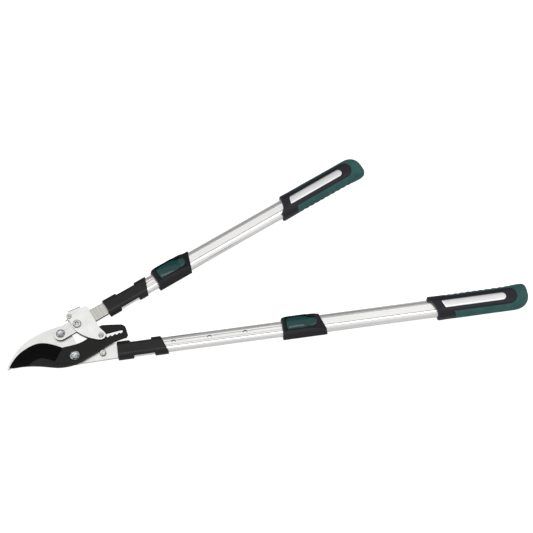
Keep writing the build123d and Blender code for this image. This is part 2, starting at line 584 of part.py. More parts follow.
def make_button(base):
    """Rocker: latch tooth at the head end, thumb dish at the grip end."""
    with BuildPart() as button:
        with BuildSketch(base.offset(15.0)):
            Polygon(*rocker_plan(0.0, 9.6), align=None)
            with Locations((THUMB_X, 0)):
                Circle(BUTTON_NARROW)
        extrude(amount=11)
        with BuildSketch(lengthwise(base, 0)):
            with BuildLine():
                crest = Spline((8.0, 20.0), (11.0, 21.4), (16.0, 22.8), (24.0, 23.7), (32.0, 23.9), (39.0, 23.2),
                               (45.0, 21.6), (51.0, 20.2), (57.0, 20.0), (64.0, 18.8))
                Polyline(crest @ 1, (64.0, 14.0), (8.0, 14.0), (8.0, 20.0))
            make_face()
        extrude(amount=20, both=True, mode=Mode.INTERSECT)
        with BuildSketch(across(base, 0)):
            with Locations((0, 14.2)):
                RectangleRounded(2 * BUTTON_WIDE + 2.4, 20.0, 4.0)
        extrude(amount=70, mode=Mode.INTERSECT)
        with BuildSketch(lengthwise(base, BUTTON_PIVOT_X, 0, BUTTON_PIVOT_Z)):
            Circle(2.45)
            with Locations((0, 1.6)):
                Rectangle(4.9, 2.6)
        extrude(amount=6.0, both=True)
        with BuildSketch(base.offset(INN_T / 2 - GROOVE_D + 0.35)):
            with Locations((LATCH_X, 0)):
                Rectangle(3.6, 4.8)
        extrude(amount=9)
        with BuildSketch(lengthwise(base, BUTTON_PIVOT_X, 0, BUTTON_PIVOT_Z)):
            Circle(1.5 + PIN_CLEAR)
        extrude(amount=20, both=True, mode=Mode.SUBTRACT)
        with BuildSketch(base.offset(14)):
            with Locations((49.0, 0)):
                Circle(3.3)
        extrude(amount=2.4, mode=Mode.SUBTRACT)
    return button


def make_button_pin(base):
    with BuildPart() as pin:
        with BuildSketch(lengthwise(base, BUTTON_PIVOT_X, 0, BUTTON_PIVOT_Z)):
            Circle(1.48)
        extrude(amount=13.0, both=True)
    return pin


def make_button_spring(base):
    """Return spring under the thumb end, five close turns."""
    with BuildPart() as spring:
        for k in range(5):
            with BuildSketch(base.offset(RECESS_FLOOR + 0.7 * k)):
                with Locations((49.0, 0)):
                    Circle(2.7)
                    Circle(2.0, mode=Mode.SUBTRACT)
            extrude(amount=0.42)
            with BuildSketch(base.offset(RECESS_FLOOR + 0.7 * k + 0.4)):
                with Locations((49.0 + (2.35 if k % 2 else -2.35), 0)):
                    Rectangle(0.6, 0.7)
            if k < 4:
                extrude(amount=0.4)
    return spring


def grip_plan(sgn, grow=0.0):
    """Outline of the grip seen from above; sgn = +1 puts the finger side at +Y."""
    return [(x, y * sgn) for x, y in
            [(271.2, -19.9), (273.4, -20.9), (280, -21.1), (300, -21.0), (340, -21.0), (380, -20.9), (404, -20.9),
             (414.6, -20.0), (422.8, -16.4), (428.7, -10.9), (431.7, -4.6), (433.1, 2.7), (433.1, 9.6),
             (431.9, 16.0), (427.6, 21.3), (417.6, 22.9), (404, 22.0), (380, 21.3), (340, 21.2), (300, 20.8),
             (280, 20.7), (264.5, 21.0), (259.3, 20.4), (256.8, 18.0), (257.0, 14.6), (260.0, 10.2), (264.2, 4.6),
             (267.2, -1.4), (269.4, -9.0), (270.6, -16.0)]]


def make_grip_body(base, sgn):
    """Whole grip before it is split into black core and soft pad."""
    with BuildPart() as body:
        with BuildSketch(across(base, 250)):
            with Locations((0, GRIP_BOTTOM + 24.5)):
                RectangleRounded(GRIP_W, 49.0, GRIP_ROUND_LOW)
            with Locations((0, GRIP_TOP - 24.5)):
                RectangleRounded(GRIP_W, 49.0, GRIP_ROUND_TOP, mode=Mode.INTERSECT)
        extrude(amount=186)
        with BuildSketch(base):
            with BuildLine():
                Spline(*grip_plan(sgn), periodic=True)
            make_face()
        extrude(amount=40, both=True, mode=Mode.INTERSECT)
        with BuildSketch(across(base, 240)):
            SlotOverall(OUT_W + 0.1, OUT_T + 0.1)
        extrude(amount=TUBE_END + 0.3 - 240, mode=Mode.SUBTRACT)
    return body


def core_region(base, sgn, grow):
    """Upright column that holds the black parts of the grip."""
    with BuildPart() as column:
        with BuildSketch(base.offset(-30)):
            Polygon((240, -30), (PAD_START + 10.9 + grow, -30 * sgn), (PAD_START - 10 + grow, 30 * sgn), (240, 30),
                    align=None) if sgn > 0 else Polygon((240, -30), (PAD_START - 10 + grow, -30),
                                                        (PAD_START + 10.9 + grow, 30), (240, 30), align=None)
            with Locations(((280 + CAP_X) / 2, 0)):
                Rectangle(CAP_X - 280, 2 * (CORE_HALF + grow))
            with Locations((CAP_X, 0)):
                Circle(CORE_HALF + grow)
        extrude(amount=60)
    return column


def make_window(base, sgn, low, high, grow):
    with BuildPart() as inlay:
        with BuildSketch(base.offset(low)):
            with BuildLine():
                h = 7.2 + grow
                Polyline((INLAY_X, -sgn * h), (285.4 - grow, -sgn * h), (278.4 - grow, sgn * h), (INLAY_X, sgn * h))
                ThreePointArc((INLAY_X, -sgn * h), (INLAY_X + h, 0), (INLAY_X, sgn * h))
            make_face()
        extrude(amount=high - low)
    return inlay


def write_outer(base, sgn, side):
    tube = make_outer_tube(base)
    write(tube, side + "_outer_tube")
    write(make_housing(base, sgn), side + "_latch_housing")
    write(make_housing_screws(base), side + "_housing_screws")
    write(make_button(base), side + "_release_button")
    write(make_button_pin(base), side + "_button_pivot_pin")
    write(make_button_spring(base), side + "_button_spring")
    body = make_grip_body(base, sgn)
    column, wide_column = core_region(base, sgn, 0.0), core_region(base, sgn, 0.1)
    recess = make_window(base, sgn, 15.0, 20.0, 0.1)
    with BuildPart() as grip_core:
        add(body.part)
        add(column.part, mode=Mode.INTERSECT)
        add(recess.part, mode=Mode.SUBTRACT)
    write(grip_core, side + "_grip_core")
    with BuildPart() as grip_pad:
        add(body.part)
        add(wide_column.part, mode=Mode.SUBTRACT)
    write(grip_pad, side + "_grip_pad")
    write(make_window(base, sgn, 15.1, 16.7, 0.0), side + "_grip_inlay")


LOW_OUTER = along(LOWER, HOUS_LOW)
UP_OUTER = along(LEVER, HOUS_UP, UPPER_SIDE)
write_outer(LOW_OUTER, 1, "lower")
write_outer(UP_OUTER, -1, "upper")
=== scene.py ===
import bpy
import bmesh
import json
import math
import numpy as np
from mathutils import Vector, Matrix
from mathutils.geometry import delaunay_2d_cdt


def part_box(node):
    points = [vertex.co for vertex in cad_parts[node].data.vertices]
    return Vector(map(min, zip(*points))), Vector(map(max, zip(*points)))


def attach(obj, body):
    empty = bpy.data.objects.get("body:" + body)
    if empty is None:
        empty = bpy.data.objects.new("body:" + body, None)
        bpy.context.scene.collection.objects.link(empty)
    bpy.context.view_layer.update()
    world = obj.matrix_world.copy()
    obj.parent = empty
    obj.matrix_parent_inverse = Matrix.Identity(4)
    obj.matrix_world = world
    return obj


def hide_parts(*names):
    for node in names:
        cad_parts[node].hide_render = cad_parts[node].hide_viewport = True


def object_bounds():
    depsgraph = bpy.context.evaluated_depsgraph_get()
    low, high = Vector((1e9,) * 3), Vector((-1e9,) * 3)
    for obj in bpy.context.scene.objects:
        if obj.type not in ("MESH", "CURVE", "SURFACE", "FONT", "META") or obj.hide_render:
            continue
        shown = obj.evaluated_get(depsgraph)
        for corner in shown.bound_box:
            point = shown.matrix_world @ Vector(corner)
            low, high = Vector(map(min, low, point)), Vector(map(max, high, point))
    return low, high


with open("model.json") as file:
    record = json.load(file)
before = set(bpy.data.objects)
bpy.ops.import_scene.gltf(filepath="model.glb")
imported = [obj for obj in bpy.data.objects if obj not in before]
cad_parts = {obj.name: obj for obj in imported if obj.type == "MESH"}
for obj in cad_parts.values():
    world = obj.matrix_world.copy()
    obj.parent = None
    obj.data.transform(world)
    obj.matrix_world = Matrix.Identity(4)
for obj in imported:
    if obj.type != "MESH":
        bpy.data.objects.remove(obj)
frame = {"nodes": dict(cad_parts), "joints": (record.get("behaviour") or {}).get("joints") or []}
NODES = frame["nodes"]
cad_low, cad_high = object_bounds()
MM = 0.001


def srgb(r, g, b):
    out = []
    for c in (r, g, b):
        c = c / 255.0
        out.append(c / 12.92 if c <= 0.04045 else ((c + 0.055) / 1.055) ** 2.4)
    return (out[0], out[1], out[2], 1.0)


# ------------------------------------------------------------------ frames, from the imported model
def middle(node):
    lo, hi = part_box(node)
    return (lo + hi) / 2


JOINT = {j["name"]: j for j in frame["joints"]}
blade_pivot = middle("blade_pivot_bolt")
lever_pivot = middle("lever_pivot_bolt")
joint_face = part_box("hook_plate")[1].z
upper_axis = Vector(JOINT["upper_handle_slide"]["axis"]).normalized()
UPPER = math.atan2(upper_axis.y, upper_axis.x)


def local_frame(origin, angle):
    """A handle's frame in metres: x along it, y across, z up from the joint face; takes millimetres."""
    return Matrix.Translation(origin) @ Matrix.Rotation(angle, 4, "Z") @ Matrix.Scale(MM, 4)


HEAD = local_frame(Vector((blade_pivot.x, blade_pivot.y, joint_face)), 0.0)
LEVER = local_frame(Vector((lever_pivot.x, lever_pivot.y, joint_face)), UPPER)
LOW_OUTER = HEAD @ Matrix.Translation((351.4, -0.8, 0))
UP_OUTER = LEVER @ Matrix.Translation((184.1, -0.5, 0))

# ------------------------------------------------------------------ mesh helpers, in a handle's own millimetres


def spline(points, step=0.8, closed=False):
    """A smooth curve through the points, sampled about every step."""
    p = np.array(list(points) + ([points[0]] if closed else []), float)
    h = np.linalg.norm(np.diff(p, axis=0), axis=1)
    n = len(p)
    a, b = np.zeros((n, n)), np.zeros((n, 2))
    for i in range(1, n - 1):
        a[i, i - 1], a[i, i], a[i, i + 1] = h[i - 1], 2 * (h[i - 1] + h[i]), h[i]
        b[i] = 6 * ((p[i + 1] - p[i]) / h[i] - (p[i] - p[i - 1]) / h[i - 1])
    if closed:
        a[0, n - 2], a[0, 0], a[0, 1] = h[-1], 2 * (h[-1] + h[0]), h[0]
        b[0] = 6 * ((p[1] - p[0]) / h[0] - (p[0] - p[n - 2]) / h[-1])
        a[n - 1, 0], a[n - 1, n - 1] = 1, -1
    else:
        a[0, 0] = a[n - 1, n - 1] = 1
    m = np.linalg.solve(a, b)
    out = []
    for i in range(n - 1):
        k = max(1, int(round(h[i] / step)))
        for j in range(k):
            t = h[i] * j / k
            u = h[i] - t
            out.append((m[i] * u ** 3 + m[i + 1] * t ** 3) / (6 * h[i])
                       + (p[i] / h[i] - m[i] * h[i] / 6) * u + (p[i + 1] / h[i] - m[i + 1] * h[i] / 6) * t)
    if not closed:
        out.append(p[-1])
    return np.array(out)


def dense(points, step=0.8, closed=False):
    """Straight runs between the points, sampled about every step."""
    p = np.array(points, float)
    out = []
    ends = len(p) if closed else len(p) - 1
    for i in range(ends):
        a, b = p[i], p[(i + 1) % len(p)]
        k = max(1, int(round(np.linalg.norm(b - a) / step)))
        out += [a + (b - a) * j / k for j in range(k)]
    if not closed:
        out.append(p[-1])
    return np.array(out)


def arc(cx, cy, r, start, end, count):
    return [(cx + r * math.cos(math.radians(start + (end - start) * k / count)),
             cy + r * math.sin(math.radians(start + (end - start) * k / count))) for k in range(count + 1)]


def distance(q, line, closed=False):
    """Distance from each point of q to a polyline."""
    a = np.asarray(line, float)
    b = np.roll(a, -1, axis=0) if closed else a[1:]
    a = a if closed else a[:-1]
    ab = b - a
    den = np.maximum((ab ** 2).sum(1), 1e-12)
    best = np.full(len(q), 1e9)
    for lo in range(0, len(q), 2000):
        c = q[lo:lo + 2000, None, :] - a[None]
        t = np.clip((c * ab[None]).sum(2) / den[None], 0, 1)
        best[lo:lo + 2000] = np.sqrt(((c - t[..., None] * ab[None]) ** 2).sum(2)).min(1)
    return best


def inside(q, loops):
    """True for points of q in the region between the loops (even-odd)."""
    odd = np.zeros(len(q), bool)
    for loop in loops:
        a = np.asarray(loop, float)
        b = np.roll(a, -1, axis=0)
        for (x0, y0), (x1, y1) in zip(a, b):
            if y0 == y1:
                continue
            hit = ((y0 > q[:, 1]) != (y1 > q[:, 1])) & (q[:, 0] < (x1 - x0) * (q[:, 1] - y0) / (y1 - y0) + x0)
            odd ^= hit
    return odd


def turned(loop, ccw):
    a = np.asarray(loop, float)
    area2 = (a[:, 0] * np.roll(a[:, 1], -1) - np.roll(a[:, 0], -1) * a[:, 1]).sum()
    return a if (area2 > 0) == ccw else a[::-1]


def lip(d, r):
    """Drop of a rounded edge of radius r, at distance d inside it."""
    k = np.clip(d, 0, r)
    return r - np.sqrt(np.maximum(r * r - (r - k) ** 2, 0))


def rounded(d, r, top):
    return top - lip(d, r)


class Build:
    """Collects closed shells in millimetres, then makes one object."""

    def __init__(self):
        self.verts, self.faces, self.kinds = [], [], []

    def shell(self, verts, faces, kinds=None):
        base = len(self.verts)
        self.verts += [tuple(map(float, v)) for v in verts]
        self.faces += [tuple(base + i for i in f) for f in faces]
        self.kinds += list(kinds) if kinds is not None else [0] * len(faces)

    def field(self, loops, top, bottom, rings=(0.15, 0.5), grid=3.0, kind=None, extra=None):
        """A solid between two height fields over the region that the loops bound."""
        loops = [turned(l, i == 0) for i, l in enumerate(loops)]
        pts, edges, start = [], [], 0
        for l in loops:
            n = len(l)
            edges += [(start + i, start + (i + 1) % n) for i in range(n)]
            pts.append(l)
            start += n
        border = np.concatenate(pts)
        added = []
        for r in rings:
            cand = []
            for l in loops:
                tangent = np.roll(l, -1, axis=0) - np.roll(l, 1, axis=0)
                tangent /= np.maximum(np.linalg.norm(tangent, axis=1, keepdims=True), 1e-9)
                cand.append(l + np.stack([-tangent[:, 1], tangent[:, 0]], 1) * r)
            cand = np.concatenate(cand)
            away = np.min([distance(cand, l, True) for l in loops], axis=0)
            added.append(cand[inside(cand, loops) & (away > 0.93 * r)])
        lo, hi = border.min(0), border.max(0)
        gx, gy = np.meshgrid(np.arange(lo[0] + grid / 2, hi[0], grid), np.arange(lo[1] + grid / 2, hi[1], grid))
        gx[1::2] += grid / 2
        cand = np.stack([gx.ravel(), gy.ravel()], 1)
        away = np.min([distance(cand, l, True) for l in loops], axis=0)
        added.append(cand[inside(cand, loops) & (away > (rings[-1] if rings else 0) + 0.35 * grid)])
        if extra is not None:
            added.append(np.asarray(extra, float))
        allp = np.concatenate([border] + added)
        vs, _, tris, *_ = delaunay_2d_cdt([Vector(p) for p in allp], edges, [], 0, 1e-5)
        v = np.array([(p.x, p.y) for p in vs])
        tri = np.array([t for t in tris if len(t) == 3])
        centre = v[tri].mean(1)
        tri = tri[inside(centre, loops)]
        a, b, c = v[tri[:, 0]], v[tri[:, 1]], v[tri[:, 2]]
        cross = (b[:, 0] - a[:, 0]) * (c[:, 1] - a[:, 1]) - (b[:, 1] - a[:, 1]) * (c[:, 0] - a[:, 0])
        tri = tri[np.abs(cross) > 1e-7]
        cross = cross[np.abs(cross) > 1e-7]
        tri[cross < 0] = tri[cross < 0][:, ::-1]
        zt = np.broadcast_to(top(v), len(v)) if callable(top) else np.full(len(v), float(top))
        zb = np.broadcast_to(bottom(v), len(v)) if callable(bottom) else np.full(len(v), float(bottom))
        used = np.unique(tri)
        index = -np.ones(len(v), int)
        index[used] = np.arange(len(used))
        n = len(used)
        verts = [(v[i, 0], v[i, 1], zt[i]) for i in used] + [(v[i, 0], v[i, 1], zb[i]) for i in used]
        t = index[tri]
        faces = [tuple(f) for f in t] + [tuple(f[::-1] + n) for f in t]
        kinds = ([0] * len(t) if kind is None else list(kind(v[tri].mean(1)))) + [0] * len(t)
        seen = set()
        for f in t:
            for i in range(3):
                seen.add((int(f[i]), int(f[(i + 1) % 3])))
        for i, j in sorted(seen):
            if (j, i) not in seen:
                faces.append((i + n, j + n, j, i))
                kinds.append(0)
        self.shell(verts, faces, kinds)

    def prism(self, loop, low, high):
        """A plain upright solid."""
        l = turned(loop, True)
        n = len(l)
        verts = [(x, y, low) for x, y in l] + [(x, y, high) for x, y in l]
        faces = [tuple(range(n - 1, -1, -1)), tuple(range(n, 2 * n))]
        faces += [(i, (i + 1) % n, n + (i + 1) % n, n + i) for i in range(n)]
        self.shell(verts, faces)

    def sweep(self, sections):
        """A closed section carried along; the ends are capped."""
        count, n = len(sections), len(sections[0])
        verts = [p for s in sections for p in s]
        faces = []
        for k in range(count - 1):
            for i in range(n):
                j = (i + 1) % n
                faces.append((k * n + i, k * n + j, (k + 1) * n + j, (k + 1) * n + i))
        faces.append(tuple(range(n - 1, -1, -1)))
        faces.append(tuple((count - 1) * n + i for i in range(n)))
        self.shell(verts, faces)

    def make(self, name, matrix, body, materials, mirror=False, sharp=38.0):
        verts = [(x, -y, z) for x, y, z in self.verts] if mirror else self.verts
        faces = [f[::-1] for f in self.faces] if mirror else self.faces
        mesh = bpy.data.meshes.new(name)
        mesh.from_pydata([matrix @ Vector(p) for p in verts], [], faces)
        for m in materials:
            mesh.materials.append(m)
        mesh.polygons.foreach_set("material_index", self.kinds)
        mesh.polygons.foreach_set("use_smooth", [True] * len(faces))
        mesh.validate()
        bm = bmesh.new()
        bm.from_mesh(mesh)
        bmesh.ops.recalc_face_normals(bm, faces=bm.faces)
        bm.to_mesh(mesh)
        bm.free()
        mesh.set_sharp_from_angle(angle=math.radians(sharp))
        o = bpy.data.objects.new(name, mesh)
        bpy.context.scene.collection.objects.link(o)
        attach(o, body)
        return o


def cut(o, matrix, loop_yz, x0, x1):
    """Takes a lengthwise passage of that section out of the piece."""
    n = len(loop_yz)
    verts = [matrix @ Vector((x, y, z)) for x in (x0, x1) for y, z in loop_yz]
    faces = [tuple(range(n - 1, -1, -1)), tuple(range(n, 2 * n))]
    faces += [(i, (i + 1) % n, n + (i + 1) % n, n + i) for i in range(n)]
    mesh = bpy.data.meshes.new("passage")
    mesh.from_pydata(verts, [], faces)
    bm = bmesh.new()
    bm.from_mesh(mesh)
    bmesh.ops.recalc_face_normals(bm, faces=bm.faces)
    bm.to_mesh(mesh)
    bm.free()
    tool = bpy.data.objects.new("passage", mesh)
    bpy.context.scene.collection.objects.link(tool)
    m = o.modifiers.new("passage", "BOOLEAN")
    m.operation, m.solver, m.object = "DIFFERENCE", "EXACT", tool
    bpy.context.view_layer.update()
    done = bpy.data.meshes.new_from_object(o.evaluated_get(bpy.context.evaluated_depsgraph_get()))
    o.modifiers.clear()
    o.data = done
    done.set_sharp_from_angle(angle=math.radians(38))
    bpy.data.objects.remove(tool)


def slot_section(width, height, count=14):
    r, k = height / 2, (width - height) / 2
    return arc(k, 0, r, -90, 90, count) + arc(-k, 0, r, 90, 270, count)


# ------------------------------------------------------------------ node helpers for materials


class Shader:
    def __init__(self, name):
        self.mat = bpy.data.materials.new(name)
        self.mat.use_nodes = True
        self.nt = self.mat.node_tree
        self.bsdf = self.nt.nodes["Principled BSDF"]
        self.tc = self.nt.nodes.new("ShaderNodeTexCoord")

    def node(self, kind, **props):
        n = self.nt.nodes.new(kind)
        for k, v in props.items():
            setattr(n, k, v)
        return n

    def link(self, a, b):
        self.nt.links.new(a, b)

    def set(self, **values):
        for k, v in values.items():
            self.bsdf.inputs[k.replace("_", " ")].default_value = v

    def coords(self, scale=(1, 1, 1), turn=0.0):
        """Object coordinates turned about Z, then stretched."""
        first = self.node("ShaderNodeMapping")
        first.inputs["Rotation"].default_value = (0, 0, -turn)
        self.link(self.tc.outputs["Object"], first.inputs["Vector"])
        second = self.node("ShaderNodeMapping")
        second.inputs["Scale"].default_value = scale
        self.link(first.outputs[0], second.inputs["Vector"])
        return second.outputs[0]

    def noise(self, vector, scale, detail=3.0, rough=0.55):
        n = self.node("ShaderNodeTexNoise")
        n.inputs["Scale"].default_value = scale
        n.inputs["Detail"].default_value = detail
        n.inputs["Roughness"].default_value = rough
        self.link(vector, n.inputs["Vector"])
        return n.outputs["Fac"]

    def ramp(self, fac, stops):
        r = self.node("ShaderNodeValToRGB")
        while len(r.color_ramp.elements) < len(stops):
            r.color_ramp.elements.new(0.5)
        for e, (pos, col) in zip(r.color_ramp.elements, stops):
            e.position = pos
            e.color = col if len(col) == 4 else (*col, 1.0)
        self.link(fac, r.inputs["Fac"])
        return r.outputs["Color"]

    def grey(self, fac, stops):
        return self.ramp(fac, [(p, (v, v, v, 1.0)) for p, v in stops])

    def mix(self, fac, a, b, blend="MIX"):
        m = self.node("ShaderNodeMix", data_type="RGBA", blend_type=blend)
        for value, socket in ((fac, m.inputs[0]), (a, m.inputs[6]), (b, m.inputs[7])):
            if hasattr(value, "is_linked") or hasattr(value, "links"):
                self.link(value, socket)
            else:
                socket.default_value = value
        return m.outputs[2]

    def maths(self, op, a, b=None):
        m = self.node("ShaderNodeMath", operation=op)
        for value, socket in ((a, m.inputs[0]), (b, m.inputs[1])):
            if value is None:
                continue
            if hasattr(value, "links"):
                self.link(value, socket)
            else:
                socket.default_value = value
        return m.outputs[0]

    def bump(self, height, strength, distance, normal=None):
        b = self.node("ShaderNodeBump")
        b.inputs["Strength"].default_value = strength
        b.inputs["Distance"].default_value = distance
        self.link(height, b.inputs["Height"])
        if normal is not None:
            self.link(normal, b.inputs["Normal"])
        return b.outputs["Normal"]


def brushed_metal(name, light, dark, rough, turn, stretch=(3, 900, 900), streak=0.4, metallic=1.0, bump=0.12,
                  cloud=26.0):
    """Satin metal with fine lines along one direction and a slow drift in tone."""
    s = Shader(name)
    lines = s.noise(s.coords(stretch, turn), 1.0, 4.0, 0.65)
    drift = s.noise(s.coords((1, 1, 1), turn), cloud, 2.0, 0.5)
    tone = s.maths("ADD", s.maths("MULTIPLY", lines, streak), s.maths("MULTIPLY", drift, 1.0 - streak))
    s.link(s.ramp(tone, [(0.32, dark), (0.68, light)]), s.bsdf.inputs["Base Color"])
    s.link(s.grey(lines, [(0.25, rough - 0.05), (0.75, rough + 0.07)]), s.bsdf.inputs["Roughness"])
    s.link(s.bump(lines, bump, 0.00006), s.bsdf.inputs["Normal"])
    s.set(Metallic=metallic)
    return s


def moulded(name, base, lift, rough, grain_scale, grain, spec=0.5, coat=0.0, wear=0.0):
    """Moulded plastic: fine even grain, slight cloudiness and a little polish from handling."""
    s = Shader(name)
    fine = s.noise(s.coords(), grain_scale, 2.0, 0.5)
    cloud = s.noise(s.coords(), 42.0, 3.0, 0.6)
    s.link(s.ramp(cloud, [(0.3, base), (0.75, lift)]), s.bsdf.inputs["Base Color"])
    s.link(s.grey(s.maths("ADD", s.maths("MULTIPLY", fine, 0.4), s.maths("MULTIPLY", cloud, 0.6)),
                  [(0.3, rough - 0.05), (0.7, rough + 0.07)]), s.bsdf.inputs["Roughness"])
    s.link(s.bump(fine, grain, 0.00025), s.bsdf.inputs["Normal"])
    s.bsdf.inputs["Specular IOR Level"].default_value = spec
    if coat:
        s.bsdf.inputs["Coat Weight"].default_value = coat
        s.bsdf.inputs["Coat Roughness"].default_value = 0.12
    return s


# ------------------------------------------------------------------ materials
plate = brushed_metal("steel_plate_satin", srgb(240, 240, 238), srgb(226, 226, 223), 0.32, 0.0,
                      (60, 420, 420), 0.35, bump=0.10, cloud=55.0).mat



def bolt_shade_rings(s, places):
    """Painted shade in the corner around each bolt head: dark close to it, gone a little further out."""
    dark = None
    for (x, y, z), reach, fade in places:
        gap = s.node("ShaderNodeVectorMath", operation="DISTANCE")
        s.link(s.tc.outputs["Object"], gap.inputs[0])
        gap.inputs[1].default_value = (x, y, z)
        one = s.node("ShaderNodeMapRange")
        one.inputs["From Min"].default_value = (reach + fade) * MM
        one.inputs["From Max"].default_value = reach * MM
        s.link(gap.outputs["Value"], one.inputs["Value"])
        dark = one.outputs[0] if dark is None else s.maths("MAXIMUM", dark, one.outputs[0])
    blotch = s.noise(s.coords(), 700.0, 2.0, 0.5)
    return s.maths("MULTIPLY", dark, s.grey(blotch, [(0.3, 0.45), (0.7, 0.9)]))


def sides(s):
    """How far a face leans away from lying flat, from its own direction: 0 on the plate's face, 1 on its cut edge."""
    where = s.node("ShaderNodeNewGeometry")
    sep = s.node("ShaderNodeSeparateXYZ")
    s.link(where.outputs["True Normal"], sep.inputs[0])
    lean = s.node("ShaderNodeMapRange")
    lean.inputs["From Min"].default_value = 0.93
    lean.inputs["From Max"].default_value = 0.55
    s.link(s.maths("ABSOLUTE", sep.outputs[2]), lean.inputs["Value"])
    return lean.outputs[0]


def darken_stain_and_shade(s, amount, colour, rough=0.6):
    """Darkens and dulls the metal where amount is high: painted shade, and real stains where a stain mask is mixed
    into amount.
    """
    plain = s.bsdf.inputs["Base Color"].links[0].from_socket
    s.link(s.mix(amount, plain, colour), s.bsdf.inputs["Base Color"])
    if s.bsdf.inputs["Roughness"].is_linked:
        sheen = s.bsdf.inputs["Roughness"].links[0].from_socket
        s.link(s.mix(amount, sheen, (rough, rough, rough, 1)), s.bsdf.inputs["Roughness"])


top_z = 0.2 + 4.8
# painted shade around the bolt head on the lever bar
lever_bolt_shade = (LEVER @ Vector((0, 0, top_z)), 7.3, 0.9)

pawl_shader = brushed_metal("steel_pawl_satin", srgb(246, 246, 244), srgb(232, 232, 229), 0.30, 0.0,
                            (60, 420, 420), 0.35, bump=0.10, cloud=55.0)


def beside(s, a, b, width, fade):
    """1 along the straight line through a and b, out to that width on either side of it."""
    a, b = HEAD @ Vector((*a, 0)), HEAD @ Vector((*b, 0))
    across_line = Vector((a.y - b.y, b.x - a.x, 0)).normalized()
    dot = s.node("ShaderNodeVectorMath", operation="DOT_PRODUCT")
    s.link(s.tc.outputs["Object"], dot.inputs[0])
    dot.inputs[1].default_value = across_line
    off = s.maths("ABSOLUTE", s.maths("SUBTRACT", dot.outputs["Value"], a.dot(across_line)))
    near = s.node("ShaderNodeMapRange")
    near.inputs["From Min"].default_value = (width + fade) * MM
    near.inputs["From Max"].default_value = width * MM
    s.link(off, near.inputs["Value"])
    return near.outputs[0]


# painted shade on the pawl's cut edges, and a painted shadow along the fold of its straight edge
darken_stain_and_shade(pawl_shader, pawl_shader.maths("MAXIMUM", sides(pawl_shader),
                                    beside(pawl_shader, (-4.4, 80.9), (16.4, 87.2), 0.8, 0.7)), srgb(46, 46, 48))
pawl_plate = pawl_shader.mat

# the lever bar keeps the same plating, with cross-ground lines on its exposed neck
s = Shader("steel_bar_ground")
pos = s.coords((1, 1, 1), UPPER)
sep = s.node("ShaderNodeSeparateXYZ")
s.link(pos, sep.inputs[0])
lines = s.noise(s.coords((1500, 8, 900), UPPER), 1.0, 3.0, 0.6)
cloud = s.noise(s.coords(), 55.0, 2.0)
neck_x = (Matrix.Rotation(-UPPER, 4, "Z") @ (LEVER @ Vector((52, 0, 0)))).x
along_bar = s.maths("MULTIPLY", s.maths("SUBTRACT", sep.outputs[0], neck_x), 140.0)
mask = s.node("ShaderNodeClamp")
s.link(along_bar, mask.inputs[0])
plain = s.ramp(cloud, [(0.3, srgb(228, 228, 226)), (0.7, srgb(240, 240, 238))])
ground = s.ramp(lines, [(0.28, srgb(176, 175, 170)), (0.72, srgb(222, 221, 216))])
s.link(s.mix(mask.outputs[0], plain, ground), s.bsdf.inputs["Base Color"])
s.link(s.grey(lines, [(0.25, 0.30), (0.75, 0.46)]), s.bsdf.inputs["Roughness"])
s.link(s.bump(s.maths("MULTIPLY", lines, mask.outputs[0]), 0.3, 0.00008), s.bsdf.inputs["Normal"])
s.set(Metallic=1.0)
# painted shade on the bar's cut edges and around the bolt head on it
darken_stain_and_shade(s, s.maths("MAXIMUM", sides(s), bolt_shade_rings(s, [lever_bolt_shade])), srgb(42, 43, 46))
bar = s.mat


def blade_paint(name, base, lift, rough, spec):
    """Baked non-stick coating: faint orange peel and rubbed, slightly brighter patches."""
    s = Shader(name)
    peel = s.noise(s.coords(), 900.0, 2.0, 0.5)
    rub = s.noise(s.coords((60, 190, 190), 0.15), 1.0, 4.0, 0.6)
    s.link(s.ramp(rub, [(0.35, base), (0.75, lift)]), s.bsdf.inputs["Base Color"])
    s.link(s.grey(rub, [(0.3, rough - 0.05), (0.7, rough + 0.08)]), s.bsdf.inputs["Roughness"])
    s.link(s.bump(peel, 0.12, 0.0002), s.bsdf.inputs["Normal"])
    s.bsdf.inputs["Specular IOR Level"].default_value = spec
    return s.mat


coating = blade_paint("blade_coating_black", srgb(13, 13, 12), srgb(25, 25, 23), 0.42, 0.23)
ground_coating = blade_paint("blade_ground_black", srgb(3, 2, 3), srgb(9, 8, 9), 0.34, 0.07)
edge_steel = brushed_metal("blade_edge_steel", srgb(196, 196, 194), srgb(160, 160, 158), 0.3, 0.0,
                           (700, 700, 700), 0.5).mat



def plated(name, light, dark, rough, stain_and_shade_colour):
    """Bright zinc with handling stains (broad dull blotches), and painted shade darkening every upright face."""
    s = brushed_metal(name, light, dark, rough, 0.6, (500, 500, 500), 0.5, bump=0.10, cloud=400.0)
    stain = s.grey(s.noise(s.coords((1, 1, 1), 0.9), 330.0, 3.0, 0.6), [(0.50, 0.0), (0.62, 0.9)])
    # real handling stains, plus painted shade on the upright faces
    darken_stain_and_shade(s, s.maths("MAXIMUM", stain, sides(s)), stain_and_shade_colour, 0.45)
    return s.mat


fastener = plated("fastener_zinc", srgb(236, 239, 240), srgb(206, 211, 213), 0.13, srgb(70, 74, 79))
rivet = plated("rivet_zinc", srgb(232, 232, 229), srgb(204, 204, 200), 0.20, srgb(92, 92, 92))
spring_steel = brushed_metal("spring_wire", srgb(170, 170, 172), srgb(128, 128, 130), 0.30, 0.9,
                             (900, 900, 900), 0.5).mat


